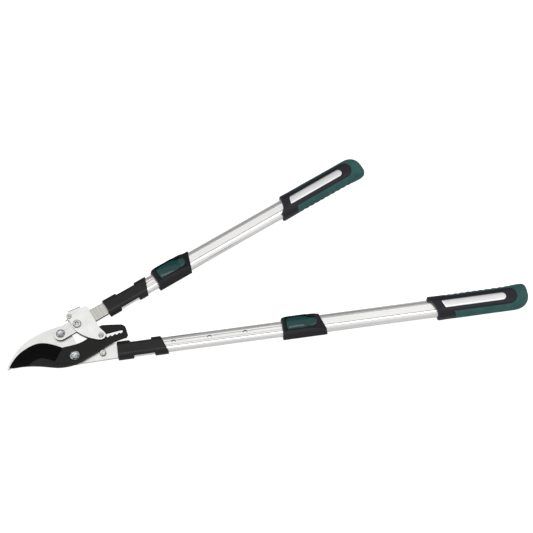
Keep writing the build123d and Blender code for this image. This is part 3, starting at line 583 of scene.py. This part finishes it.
def tube_metal(name, turn, axis_y, lines_at, first_hole=None):
    """Anodised tube; painted shade darkens its lengthwise grooves, at those distances from the tube's middle line."""
    s = brushed_metal(name, srgb(247, 246, 245), srgb(238, 237, 236), 0.23, turn, (4, 1100, 1100), 0.55, bump=0.10)
    sep = s.node("ShaderNodeSeparateXYZ")
    s.link(s.coords((1, 1, 1), turn), sep.inputs[0])
    away = s.maths("ABSOLUTE", s.maths("SUBTRACT", sep.outputs[1], axis_y))
    patchy = s.noise(s.coords((25, 500, 500), turn), 1.0, 3.0, 0.6)
    dark = None
    # painted shade along each lengthwise groove
    for at in lines_at:
        near = s.maths("ABSOLUTE", s.maths("SUBTRACT", away, at * MM))
        one = s.node("ShaderNodeMapRange")
        one.inputs["From Min"].default_value = 0.0009
        one.inputs["From Max"].default_value = 0.0004
        s.link(near, one.inputs["Value"])
        dark = one.outputs[0] if dark is None else s.maths("MAXIMUM", dark, one.outputs[0])
    level = s.maths("MULTIPLY", dark, s.grey(patchy, [(0.2, 0.38), (0.8, 0.52)]))
    if first_hole is not None:
        # the far wall of each detent pocket lies in its own shade
        flat = s.node("ShaderNodeCombineXYZ")
        s.link(sep.outputs[0], flat.inputs[0])
        s.link(sep.outputs[1], flat.inputs[1])
        beyond = s.node("ShaderNodeMapRange")
        beyond.inputs["From Min"].default_value = axis_y + 0.2 * MM
        beyond.inputs["From Max"].default_value = axis_y + 1.4 * MM
        s.link(sep.outputs[1], beyond.inputs["Value"])
        for k in range(4):
            gap = s.node("ShaderNodeVectorMath", operation="DISTANCE")
            s.link(flat.outputs[0], gap.inputs[0])
            gap.inputs[1].default_value = (first_hole + 61.2 * k * MM, axis_y, 0.0)
            wall = s.node("ShaderNodeMapRange")
            wall.inputs["From Min"].default_value = 0.0012
            wall.inputs["From Max"].default_value = 0.0007
            s.link(s.maths("ABSOLUTE", s.maths("SUBTRACT", gap.outputs["Value"], 3.4 * MM)), wall.inputs["Value"])
            shade = s.maths("MULTIPLY", wall.outputs[0], beyond.outputs[0])
            level = s.maths("MAXIMUM", level, s.maths("MULTIPLY", shade, 1.0))
    plain = s.bsdf.inputs["Base Color"].links[0].from_socket
    s.link(s.mix(level, plain, srgb(112, 112, 115)), s.bsdf.inputs["Base Color"])
    return s.mat


low_axis = (HEAD @ Vector((0, -0.8, 0))).y
up_axis = (Matrix.Rotation(-UPPER, 4, "Z") @ (LEVER @ Vector((0, -0.5, 0)))).y
low_hole = (HEAD @ Vector((106.7, -0.8, 0))).x
up_hole = (Matrix.Rotation(-UPPER, 4, "Z") @ (LEVER @ Vector((106.7, -0.5, 0)))).x
inner_low = tube_metal("aluminium_inner_lower", 0.0, low_axis, (2.9, 6.15), low_hole)
inner_up = tube_metal("aluminium_inner_upper", UPPER, up_axis, (2.9, 6.15), up_hole)
outer_low = tube_metal("aluminium_outer_lower", 0.0, low_axis, (6.2,))
outer_up = tube_metal("aluminium_outer_upper", UPPER, up_axis, (6.2,))
inlay_low = brushed_metal("inlay_lower", srgb(238, 238, 238), srgb(222, 222, 222), 0.36, 0.0,
                          (6, 1300, 1300), 0.6, bump=0.16).mat
inlay_up = brushed_metal("inlay_upper", srgb(238, 238, 238), srgb(222, 222, 222), 0.36, UPPER,
                         (6, 1300, 1300), 0.6, bump=0.16).mat
collar = moulded("collar_abs", srgb(9, 9, 8), srgb(20, 20, 19), 0.33, 2400.0, 0.20, 0.34).mat
housing = moulded("housing_abs", srgb(8, 6, 12), srgb(15, 12, 20), 0.36, 1500.0, 0.40, 0.24).mat
core = moulded("grip_core_abs", srgb(14, 12, 22), srgb(23, 21, 32), 0.46, 1900.0, 0.35, 0.34).mat
button = moulded("button_green", srgb(0, 54, 52), srgb(3, 62, 59), 0.13, 1800.0, 0.05, 0.40).mat
rubber = moulded("grip_green_tpr", srgb(36, 78, 75), srgb(51, 95, 90), 0.62, 2200.0, 0.45, 0.26).mat
nylon = moulded("nylon_black", srgb(20, 20, 20), srgb(30, 30, 30), 0.5, 1500.0, 0.2, 0.4).mat

# ------------------------------------------------------------------ CAD nodes that stay


def dress(node, material, bevel=0.0, segments=2, angle=32.0):
    o = NODES[node]
    o.data.materials.clear()
    o.data.materials.append(material)
    weld = o.modifiers.new("weld", "WELD")
    weld.merge_threshold = 2e-6
    if bevel:
        b = o.modifiers.new("edge", "BEVEL")
        b.width = bevel * MM
        b.segments = segments
        b.limit_method = "ANGLE"
        b.angle_limit = math.radians(angle)
        b.use_clamp_overlap = True
        b.miter_outer = "MITER_ARC"
        b.harden_normals = False
    w = o.modifiers.new("normals", "WEIGHTED_NORMAL")
    w.mode = "FACE_AREA"
    w.weight = 60
    w.keep_sharp = False
    return o


dress("hook_plate", plate, 0.45)
dress("cutting_blade", coating, 0.35)
dress("lever_bar", bar, 0.4)
dress("pawl_cheeks", pawl_plate, 0.35)
for n in ("blade_pivot_bolt", "blade_pivot_nut", "lever_pivot_bolt", "lever_pivot_nut"):
    dress(n, fastener, 0.25)
for n in ("blade_pivot_washers", "lever_pivot_washers"):
    dress(n, fastener, 0.2)
for n in ("blade_stop_rivet", "pawl_pivot_pin", "pawl_stop_pin", "ratchet_pin", "lower_tang_rivets",
          "upper_tang_rivets"):
    dress(n, rivet, 0.25)
dress("pawl_spring", spring_steel, 0.15)
for side, inner, outer, inlay in (("lower", inner_low, outer_low, inlay_low),
                                  ("upper", inner_up, outer_up, inlay_up)):
    dress(side + "_inner_tube", inner, 0.12)
    dress(side + "_outer_tube", outer, 0.15)
    dress(side + "_collar", collar, 0.55)
    dress(side + "_guide_plug", nylon, 0.2)
    dress(side + "_latch_housing", housing, 0.4)
    dress(side + "_housing_screws", fastener, 0.1)
    dress(side + "_button_pivot_pin", rivet, 0.1)
    dress(side + "_button_spring", spring_steel, 0.08)
    dress(side + "_release_button", button, 0.6)
    dress(side + "_grip_core", core, 0.5)
    dress(side + "_grip_pad", rubber, 0.4)
    dress(side + "_grip_inlay", inlay, 0.4)

# ------------------------------------------------------------------ the cutting blade, with its hollow grind
T = 4.8
BLADE_AT = HEAD @ Matrix.Translation((0, 0, 0.2))
edge_points = [(-111.6, -5.6), (-108.6, 0.2), (-104.0, 6.9), (-98.6, 13.1), (-92.4, 18.6), (-85.4, 23.2),
               (-77.6, 27.2), (-68.4, 30.6), (-57.6, 32.0), (-46.8, 30.4), (-37.0, 27.0), (-27.6, 22.6),
               (-18.5, 17.7)]
blade_tail = [(-18.5, 17.7), (-8.0, 18.6), (4.1, 20.2), (14.2, 23.0), (23.4, 27.4), (34.0, 38.2), (44.0, 46.4),
              (49.9, 48.6), (66.2, 47.2), (83.6, 45.2), (89.2, 41.0), (91.0, 33.2), (92.4, 25.2), (89.6, 20.8),
              (83.9, 20.0), (74.5, 17.9), (62.6, 13.6), (53.2, 8.9), (46.4, 5.0)]
blade_back = [(46.4, 5.0), (40.4, 1.9), (31.6, -2.4), (22.6, -6.4), (7.4, -13.2), (-2.6, -15.9), (-17.2, -17.4),
              (-27.8, -17.0), (-41.1, -14.4), (-63.0, -9.4), (-82.2, -7.0), (-95.1, -6.7), (-104.0, -6.9),
              (-111.6, -5.6)]
cutting_edge = spline(edge_points, 0.9)
outline = np.concatenate([cutting_edge[:-1], dense(blade_tail, 1.0)[:-1], spline(blade_back, 1.0)[:-1]])
pin = (47.7, 29.63)
slot_loop = [(49.6, 32.3), (55.4, 32.6), (82.2, 35.9), (84.2, 34.9), (84.4, 33.4), (83.6, 30.8), (81.6, 29.2),
             (80.0, 29.0), (78.0, 30.6), (74.2, 27.8), (73.0, 27.6), (70.6, 29.6), (66.2, 26.3), (65.0, 26.1),
             (62.8, 28.3), (58.5, 25.0), (57.3, 24.9), (55.0, 27.1), (49.9, 26.9)]
notch = arc(pin[0], pin[1], 3.15, -62, -294, 22)
slot_loop = dense(slot_loop + notch[::-1][:0] + [p for p in notch], 0.6, closed=True)
pivot_hole = np.array(arc(0, 0, 5.06, 0, 360, 40)[:-1])
wall_a, wall_b = np.array((-18.4, 18.2)), np.array((-34.2, -6.6))
wall_dir = (wall_b - wall_a) / np.linalg.norm(wall_b - wall_a)
wall_n = np.array((wall_dir[1], -wall_dir[0]))
if wall_n[0] > 0:
    wall_n = -wall_n
GRIND = 28.4


def grind_depth(q):
    d = distance(q, cutting_edge)
    s_in = (q - wall_a) @ wall_n
    across_ = np.clip(1 - d / GRIND, 0, 1) ** 1.35 * 3.9
    shoulder = 0.35 * np.clip((GRIND - d) / 0.8, 0, 1)
    ramp_ = np.clip(s_in / 1.6, 0, 1)
    ramp_ = ramp_ * ramp_ * (3 - 2 * ramp_)
    return np.minimum(across_ + shoulder, 3.9) * ramp_


def blade_top(q):
    d = distance(q, outline, True)
    return T - np.maximum(grind_depth(q), 0) - lip(d, 0.4) * (T - grind_depth(q) > 1.4)


def blade_kind(q):
    d = distance(q, cutting_edge)
    s_in = (q - wall_a) @ wall_n
    return [1 if (a < GRIND and b > 0.05) else 0 for a, b in zip(d, s_in)]


grind_lines = [wall_a + wall_dir * k * 0.7 + wall_n * off for k in range(46) for off in (0.0, 0.4, 0.8, 1.2, 1.6)]
tangent = np.gradient(cutting_edge, axis=0)
tangent /= np.linalg.norm(tangent, axis=1, keepdims=True)
low_side = np.stack([tangent[:, 1], -tangent[:, 0]], 1)
for off in (GRIND - 0.8, GRIND):
    grind_lines += list(cutting_edge + low_side * off)
grind_lines = np.array(grind_lines)
loops = [outline, slot_loop, pivot_hole]
keep = inside(grind_lines, loops) & (np.min([distance(grind_lines, l, True) for l in loops], axis=0) > 0.6)
off_edge = distance(grind_lines, cutting_edge)
side_in = (grind_lines - wall_a) @ wall_n
keep &= (off_edge < GRIND + 0.05) & (side_in > -0.05) & (off_edge > 0.5)
near = off_edge > GRIND - 1.0
keep &= ~(near & (np.abs(off_edge - GRIND) > 0.02) & (np.abs(off_edge - GRIND + 0.8) > 0.02) & (side_in > 1.7))
b = Build()
b.field(loops, blade_top, 0.0, rings=(0.1, 0.4), grid=2.2, kind=blade_kind, extra=grind_lines[keep])
blade = b.make("blade", BLADE_AT, "blade", [coating, ground_coating], sharp=30.0)
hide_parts("cutting_blade")

# ------------------------------------------------------------------ grips
TOP, LOW, ROUND_TOP, ROUND_LOW = 16.5, -12.5, 14.5, 9.0
MIDZ = (TOP + LOW) / 2
plan = [(271.2, -19.9), (273.4, -20.9), (280, -21.1), (300, -21.0), (340, -21.0), (380, -20.9), (404, -20.9),
        (414.6, -20.0), (422.8, -16.4), (428.7, -10.9), (431.7, -4.6), (433.1, 2.7), (433.1, 9.6),
        (431.9, 16.0), (427.6, 21.3), (417.6, 22.9), (404, 22.0), (380, 21.3), (340, 21.2), (300, 20.8),
        (280, 20.7), (264.5, 21.0), (259.3, 20.4), (256.8, 18.0), (257.0, 14.6), (260.0, 10.2), (264.2, 4.6),
        (267.2, -1.4), (269.4, -9.0), (270.6, -16.0)]
plan_line = spline(plan, 0.8, closed=True)
plan_line[:, 1] *= 0.996
plan_line[:, 0] = np.minimum(plan_line[:, 0], 433.05)
# sides and cap only: the head end of the grip is a plain cut, not rounded over
first = int(np.argmin(np.hypot(plan_line[:, 0] - 275, plan_line[:, 1] + 21.5)))
last = int(np.argmin(np.hypot(plan_line[:, 0] - 263.5, plan_line[:, 1] - 21.0)))
skin_line = np.concatenate([[(235.0, plan_line[first][1])], plan_line[first:last + 1], [(235.0, plan_line[last][1])]])
head_end = np.concatenate([plan_line[last:], plan_line[:first]])


def along_plan(x, side):
    part = plan_line[(plan_line[:, 1] > 0) == (side > 0)]
    part = part[(part[:, 0] > 275) & (part[:, 0] < 402)]
    part = part[np.argsort(part[:, 0])]
    return float(np.interp(x, part[:, 0], part[:, 1]))


HALF, CAP_X = 14.5, 395.6
SIDE_NEG, SIDE_POS = -21.0, 20.6


def split_x(y):
    """Where the pad starts, on the slanted line across the grip."""
    return 303.9 - 20.9 * (y + 30.0) / 60.0


def under(d):
    """Underside of the grip at distance d inside its outline."""
    return LOW + lip(d, ROUND_LOW)


def grip_core(prefix, matrix, mirror):
    cut_pos, cut_neg = split_x(SIDE_POS), split_x(SIDE_NEG)
    # the outline is walked from the finger side's pad start round the head end to the outer side's pad start
    i_pos = next(i for i, q in enumerate(plan_line) if i > len(plan_line) // 2 and q[1] > 0 and q[0] < cut_pos)
    j_neg = next(i for i, q in enumerate(plan_line) if q[0] > cut_neg)
    outer = np.concatenate([[(cut_pos, along_plan(cut_pos, 1))], plan_line[i_pos:], plan_line[:j_neg],
                            [(cut_neg, along_plan(cut_neg, -1))]])
    right = [(cut_neg, along_plan(cut_neg, -1)), (split_x(-HALF), -HALF)]
    cap = arc(CAP_X, 0, HALF, -90, 90, 44)
    left = [(split_x(HALF), HALF), (cut_pos, along_plan(cut_pos, 1))]
    edge = [(split_x(-HALF), -HALF), (CAP_X, -HALF)]
    loop = np.concatenate([outer, dense(right, 0.8)[1:-1], dense(edge, 1.0)[:-1], np.array(cap),
                           dense([(CAP_X, HALF), (split_x(HALF), HALF)], 1.0)[1:-1], dense(left, 0.8)[:-1]])
    inner_edge = np.concatenate([dense(right, 0.8), dense(edge, 1.0), np.array(cap),
                                 dense([(CAP_X, HALF), (split_x(HALF), HALF)], 1.0), dense(left, 0.8)])

    def skin(q):
        z = rounded(distance(q, skin_line), ROUND_TOP, TOP) + 0.25
        z = z - lip(distance(q, inner_edge), 0.9) - lip(distance(q, head_end), 1.1)
        return np.minimum(z, TOP + 0.2)

    b = Build()
    b.field([loop], lambda q: np.maximum(skin(q), 1.6),
            lambda q: np.minimum(under(distance(q, skin_line)) + lip(distance(q, inner_edge), 0.9)
                                 + lip(distance(q, head_end), 1.1), -3.0),
            rings=(0.12, 0.4, 0.9, 1.8, 3.2, 5.0, 7.4), grid=3.2)
    o = b.make(prefix + "_grip_body", matrix, prefix + "_outer", [core], mirror=mirror)
    cut(o, matrix, slot_section(32.2, 20.0), 240.0, 404.3)
    recess(o, matrix, window_line(0.12), 15.0, mirror)
    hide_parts(prefix + "_grip_core")
    return o


def window_line(grow):
    """Outline of the inlay: rounded at the cap end, slanted with eased corners at the head end."""
    h = 7.2 + grow
    low, high = (285.4 - grow, -h), (278.4 - grow, h)
    return dense([(low[0] - 1.9, low[1] + 1.9), (low[0] - 1.2, low[1] + 0.7), (low[0] + 0.4, low[1])]
                 + [(384.0, -h)] + arc(384.0, 0, h, -90, 90, 26)[1:-1] + [(384.0, h), (high[0] + 3.2, high[1]),
                 (high[0] + 1.6, high[1] - 0.5), (high[0] + 1.1, high[1] - 1.3), (high[0] + 1.2, high[1] - 2.5)],
                 1.0, closed=True)


def recess(o, matrix, loop, floor_z, mirror):
    l = np.asarray(loop)
    if mirror:
        l = l * np.array((1, -1))
    l = turned(l, True)
    n = len(l)
    verts = [matrix @ Vector((x, y, z)) for z in (floor_z, 30.0) for x, y in l]
    faces = [tuple(range(n - 1, -1, -1)), tuple(range(n, 2 * n))]
    faces += [(i, (i + 1) % n, n + (i + 1) % n, n + i) for i in range(n)]
    mesh = bpy.data.meshes.new("recess")
    mesh.from_pydata(verts, [], faces)
    tool = bpy.data.objects.new("recess", mesh)
    bpy.context.scene.collection.objects.link(tool)
    m = o.modifiers.new("recess", "BOOLEAN")
    m.operation, m.solver, m.object = "DIFFERENCE", "EXACT", tool
    bpy.context.view_layer.update()
    done = bpy.data.meshes.new_from_object(o.evaluated_get(bpy.context.evaluated_depsgraph_get()))
    o.modifiers.clear()
    o.data = done
    done.set_sharp_from_angle(angle=math.radians(38))
    bpy.data.objects.remove(tool)


def grip_pad(prefix, matrix, mirror):
    """Soft pad: finger waves on the side that faces the other handle, plain on the far side, a thick end cap."""
    gap = 0.12
    pairs = []
    # both ends of the pad follow the slanted edge of the core
    start, lean = split_x(SIDE_POS) + 0.15, split_x(HALF) - split_x(SIDE_POS)
    x = start
    while x < CAP_X - 0.5:
        pairs.append(((x, along_plan(x, 1)), (x + lean * max(0.0, 1 - (x - start) / 14), HALF + gap)))
        x += 1.0
    cap_part = plan_line[(plan_line[:, 0] > CAP_X)]
    ang = np.degrees(np.arctan2(cap_part[:, 1], cap_part[:, 0] - CAP_X))
    order = np.argsort(-ang)
    cap_part, ang = cap_part[order], ang[order]
    for t in np.linspace(88.5, -88.5, 84):
        px = np.interp(-t, -ang, cap_part[:, 0])
        py = np.interp(-t, -ang, cap_part[:, 1])
        pairs.append(((px, py), (CAP_X + (HALF + gap) * math.cos(math.radians(t)),
                                 (HALF + gap) * math.sin(math.radians(t)))))
    start, lean = split_x(SIDE_NEG) + 0.15, split_x(-HALF) - split_x(SIDE_NEG)
    count = int(CAP_X - 0.5 - start)
    for k in range(count + 1):
        x = CAP_X - 0.5 + (start - CAP_X + 0.5) * k / count
        pairs.append(((x, along_plan(x, -1)), (x + lean * max(0.0, 1 - (x - start) / 14), -HALF - gap)))
    sections = []
    fractions = 1 - np.cos(np.linspace(0, math.pi / 2, 13))
    for (ox, oy), (ix, iy) in pairs:
        o2, i2 = np.array((ox, oy)), np.array((ix, iy))
        width = np.linalg.norm(o2 - i2)
        finger = oy > 0 and ox < 410
        fade_in = min(1.0, max(0.0, (ox - 288.5) / 4.0)) * min(1.0, max(0.0, (407.0 - ox) / 14.0))
        wave = 1.2 * (1 - abs(math.sin(math.pi * (ox - 290.0) / 11.2)) ** 0.85) * fade_in if finger else 0.0
        top, bottom = [], []
        for f in fractions:
            d = width * (1 - f)
            q = o2 + (i2 - o2) * (d / width)
            fade = max(0.0, 1 - d / min(width, 8.0)) ** 0.6
            shift = (i2 - o2) / width * wave * fade
            # the outline's own distance, not the distance along the pair, sets the height
            near = min(d, float(distance(q[None], skin_line)[0]))
            dent = 0.35 * max(0.0, 1 - (width - d) / 0.7) ** 2
            top.append((q[0] + shift[0], q[1] + shift[1], TOP - float(lip(near, ROUND_TOP)) - dent))
            bottom.append((q[0] + shift[0], q[1] + shift[1], LOW + float(lip(near, ROUND_LOW)) + dent))
        sections.append(top + bottom[::-1])
    b = Build()
    b.sweep(sections)
    o = b.make(prefix + "_grip_cover", matrix, prefix + "_outer", [rubber], mirror=mirror, sharp=50.0)
    cut(o, matrix, slot_section(32.2, 20.0), 240.0, 404.3)
    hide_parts(prefix + "_grip_pad")
    return o


def inlay_plate(prefix, matrix, mirror, material):
    line = window_line(0.0)
    b = Build()

    def top(q):
        d = distance(q, line, True)
        edge = np.clip(1 - d / 2.4, 0, 1) ** 2 * 0.75
        return 16.7 + 0.25 * (1 - (q[:, 1] / 7.2) ** 2) - edge

    b.field([line], top, 15.05, rings=(0.25, 0.8, 1.4, 2.1), grid=2.6)
    o = b.make(prefix + "_inlay_plate", matrix, prefix + "_outer", [material], mirror=mirror)
    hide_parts(prefix + "_grip_inlay")
    return o


# ------------------------------------------------------------------ release buttons


def rocker(prefix, matrix, mirror):
    """Rocker button: wide over the latch, stepped in to a lower, dished thumb end."""
    wide, narrow, thumb = 11.3, 9.0, 53.5
    line = np.array([(11.0, -wide), (41.6, -wide), (43.2, -wide + 0.35), (46.6, -narrow - 0.35), (48.2, -narrow),
                     (thumb, -narrow)] + arc(thumb, 0, narrow, -88, 88, 34)
                    + [(thumb, narrow), (48.2, narrow), (46.6, narrow + 0.35), (43.2, wide - 0.35), (41.6, wide),
                       (11.0, wide)] + arc(11.0, wide - 1.4, 1.4, 90, 180, 6)[1:]
                    + arc(11.0, -wide + 1.4, 1.4, 180, 270, 6)[:-1])
    line = dense(line, 0.7, closed=True)
    crest = spline([(8.0, 20.0), (11.0, 21.4), (16.0, 22.8), (24.0, 23.6), (32.0, 23.8), (39.0, 23.1), (45.0, 21.5),
                    (51.0, 20.2), (57.0, 19.9), (64.0, 18.7)], 0.6)

    def top(q):
        z = np.interp(q[:, 0], crest[:, 0], crest[:, 1])
        half = np.interp(q[:, 0], [42.0, 47.8], [wide, narrow])
        z = z - 2.2 * (np.abs(q[:, 1]) / half) ** 2.0
        z = z - lip(distance(q, line, True), 1.2) * 0.6
        dish = np.clip(1 - ((q[:, 0] - 52.6) / 7.2) ** 2 - (q[:, 1] / 6.4) ** 2, 0, 1)
        return z - 0.95 * dish ** 1.2

    def underside(q):
        """Flat, with a round pocket that takes the top of the return spring when the thumb end goes down."""
        r = np.hypot(q[:, 0] - 49.0, q[:, 1])
        return 15.45 + 1.9 * np.clip((4.1 - r) / 0.8, 0, 1)

    ring = [(49.0 + r * math.cos(2 * math.pi * k / 24), r * math.sin(2 * math.pi * k / 24))
            for r in (3.3, 4.1) for k in range(24)]
    b = Build()
    b.field([line], top, underside, rings=(0.12, 0.4, 0.8, 1.4), grid=1.5, extra=np.array(ring))
    b.prism([(9.7, -2.4), (13.2, -2.4), (13.2, 2.4), (9.7, 2.4)], 7.3, 16.0)
    o = b.make(prefix + "_rocker", matrix, prefix + "_button", [button], mirror=mirror)
    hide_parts(prefix + "_release_button")
    return o


for prefix, matrix, mirror, metal in (("lower", LOW_OUTER, False, inlay_low), ("upper", UP_OUTER, True, inlay_up)):
    grip_core(prefix, matrix, mirror)
    grip_pad(prefix, matrix, mirror)
    inlay_plate(prefix, matrix, mirror, metal)
    rocker(prefix, matrix, mirror)


# ------------------------------------------------------------------ floor, light, camera
floor_mat = Shader("floor_paper")
paper = floor_mat.noise(floor_mat.coords(), 900.0, 2.0)
floor_mat.link(floor_mat.ramp(paper, [(0.3, (0.66, 0.66, 0.66)), (0.7, (0.69, 0.69, 0.69))]),
               floor_mat.bsdf.inputs["Base Color"])
floor_mat.set(Roughness=0.9)
floor_mat.bsdf.inputs["Specular IOR Level"].default_value = 0.1
floor_mat.bsdf.inputs["Emission Color"].default_value = (1, 1, 1, 1)
direct = floor_mat.node("ShaderNodeLightPath")
floor_mat.link(floor_mat.maths("MULTIPLY", direct.outputs["Is Camera Ray"], 0.80),
               floor_mat.bsdf.inputs["Emission Strength"])
rings, spokes = [0.0, 0.8, 2.5, 7.0, 20.0, 40.0], 64
verts, faces = [(0.0, 0.0, 0.0)], []
for r in rings[1:]:
    verts += [(r * math.cos(2 * math.pi * k / spokes), r * math.sin(2 * math.pi * k / spokes), 0.0)
              for k in range(spokes)]
for k in range(spokes):
    j = (k + 1) % spokes
    faces.append((0, 1 + k, 1 + j))
    for i in range(len(rings) - 2):
        a, b = 1 + i * spokes, 1 + (i + 1) * spokes
        faces.append((a + k, b + k, b + j, a + j))
floor_mesh = bpy.data.meshes.new("floor")
floor_mesh.from_pydata(verts, [], faces)
floor = bpy.data.objects.new("floor", floor_mesh)
floor.location.z = cad_low.z - 0.0002
floor_mesh.materials.append(floor_mat.mat)
bpy.context.scene.collection.objects.link(floor)

world = bpy.data.worlds.new("studio")
bpy.context.scene.world = world
world.use_nodes = True
wn = world.node_tree
bg = wn.nodes["Background"]
tc = wn.nodes.new("ShaderNodeTexCoord")
part_y = wn.nodes.new("ShaderNodeSeparateXYZ")
wn.links.new(tc.outputs["Generated"], part_y.inputs[0])
half_up = wn.nodes.new("ShaderNodeMapRange")
half_up.inputs["From Min"].default_value = -1.0
half_up.inputs["From Max"].default_value = 1.0
wn.links.new(part_y.outputs[1], half_up.inputs["Value"])
# a lit ceiling from the near side to a little past overhead, and a dim far wall
height = wn.nodes.new("ShaderNodeValToRGB")
stops = [(-1.0, 0.62), (-0.9, 0.74), (-0.7, 0.88), (-0.3, 0.84), (-0.02, 0.96), (0.2, 1.0), (0.43, 1.0), (0.50, 0.90),
         (0.58, 0.56), (0.66, 0.36), (1.0, 0.30)]
while len(height.color_ramp.elements) < len(stops):
    height.color_ramp.elements.new(0.5)
for e, (p, v) in zip(height.color_ramp.elements, stops):
    e.position, e.color = (p + 1) / 2, (v, v, v, 1)
wn.links.new(half_up.outputs["Result"], height.inputs["Fac"])
seen = wn.nodes.new("ShaderNodeLightPath")
pale = wn.nodes.new("ShaderNodeMix")
pale.data_type = "RGBA"
pale.inputs[7].default_value = (0.93, 0.93, 0.93, 1.0)
wn.links.new(seen.outputs["Is Camera Ray"], pale.inputs[0])
wn.links.new(height.outputs["Color"], pale.inputs[6])
wn.links.new(pale.outputs[2], bg.inputs["Color"])
bg.inputs["Strength"].default_value = 1.0


def area(name, place, target, size, size_y, power):
    data = bpy.data.lights.new(name, "AREA")
    data.shape, data.size, data.size_y, data.energy = "RECTANGLE", size, size_y, power
    o = bpy.data.objects.new(name, data)
    o.location = place
    o.rotation_euler = (Vector(target) - Vector(place)).to_track_quat("-Z", "Y").to_euler()
    bpy.context.scene.collection.objects.link(o)
    return o


area("softbox_over", (0.0, -0.42, 3.2), (0, -0.05, 0), 3.4, 0.42, 17.0)

cam_data = bpy.data.cameras.new("camera")
cam = bpy.data.objects.new("camera", cam_data)
bpy.context.scene.collection.objects.link(cam)
cam_data.sensor_width = 36.0
cam_data.lens = 81.05
place = Vector((blade_pivot.x + 0.2195, blade_pivot.y - 0.7427, 1.9234))
aim = Vector((blade_pivot.x + 0.3443, blade_pivot.y + 0.1192, 0.0125))
back = (place - aim).normalized()
right = Vector((math.cos(math.radians(8.24)), -math.sin(math.radians(8.24)), 0.0))
right = (right - back * right.dot(back)).normalized()
up = back.cross(right)
cam.matrix_world = Matrix(((right.x, up.x, back.x, place.x), (right.y, up.y, back.y, place.y),
                           (right.z, up.z, back.z, place.z), (0, 0, 0, 1)))
cam_data.clip_start, cam_data.clip_end = 0.05, 120.0
bpy.context.scene.camera = cam
bpy.context.scene.view_settings.view_transform = "Standard"
bpy.context.scene.view_settings.look = "None"
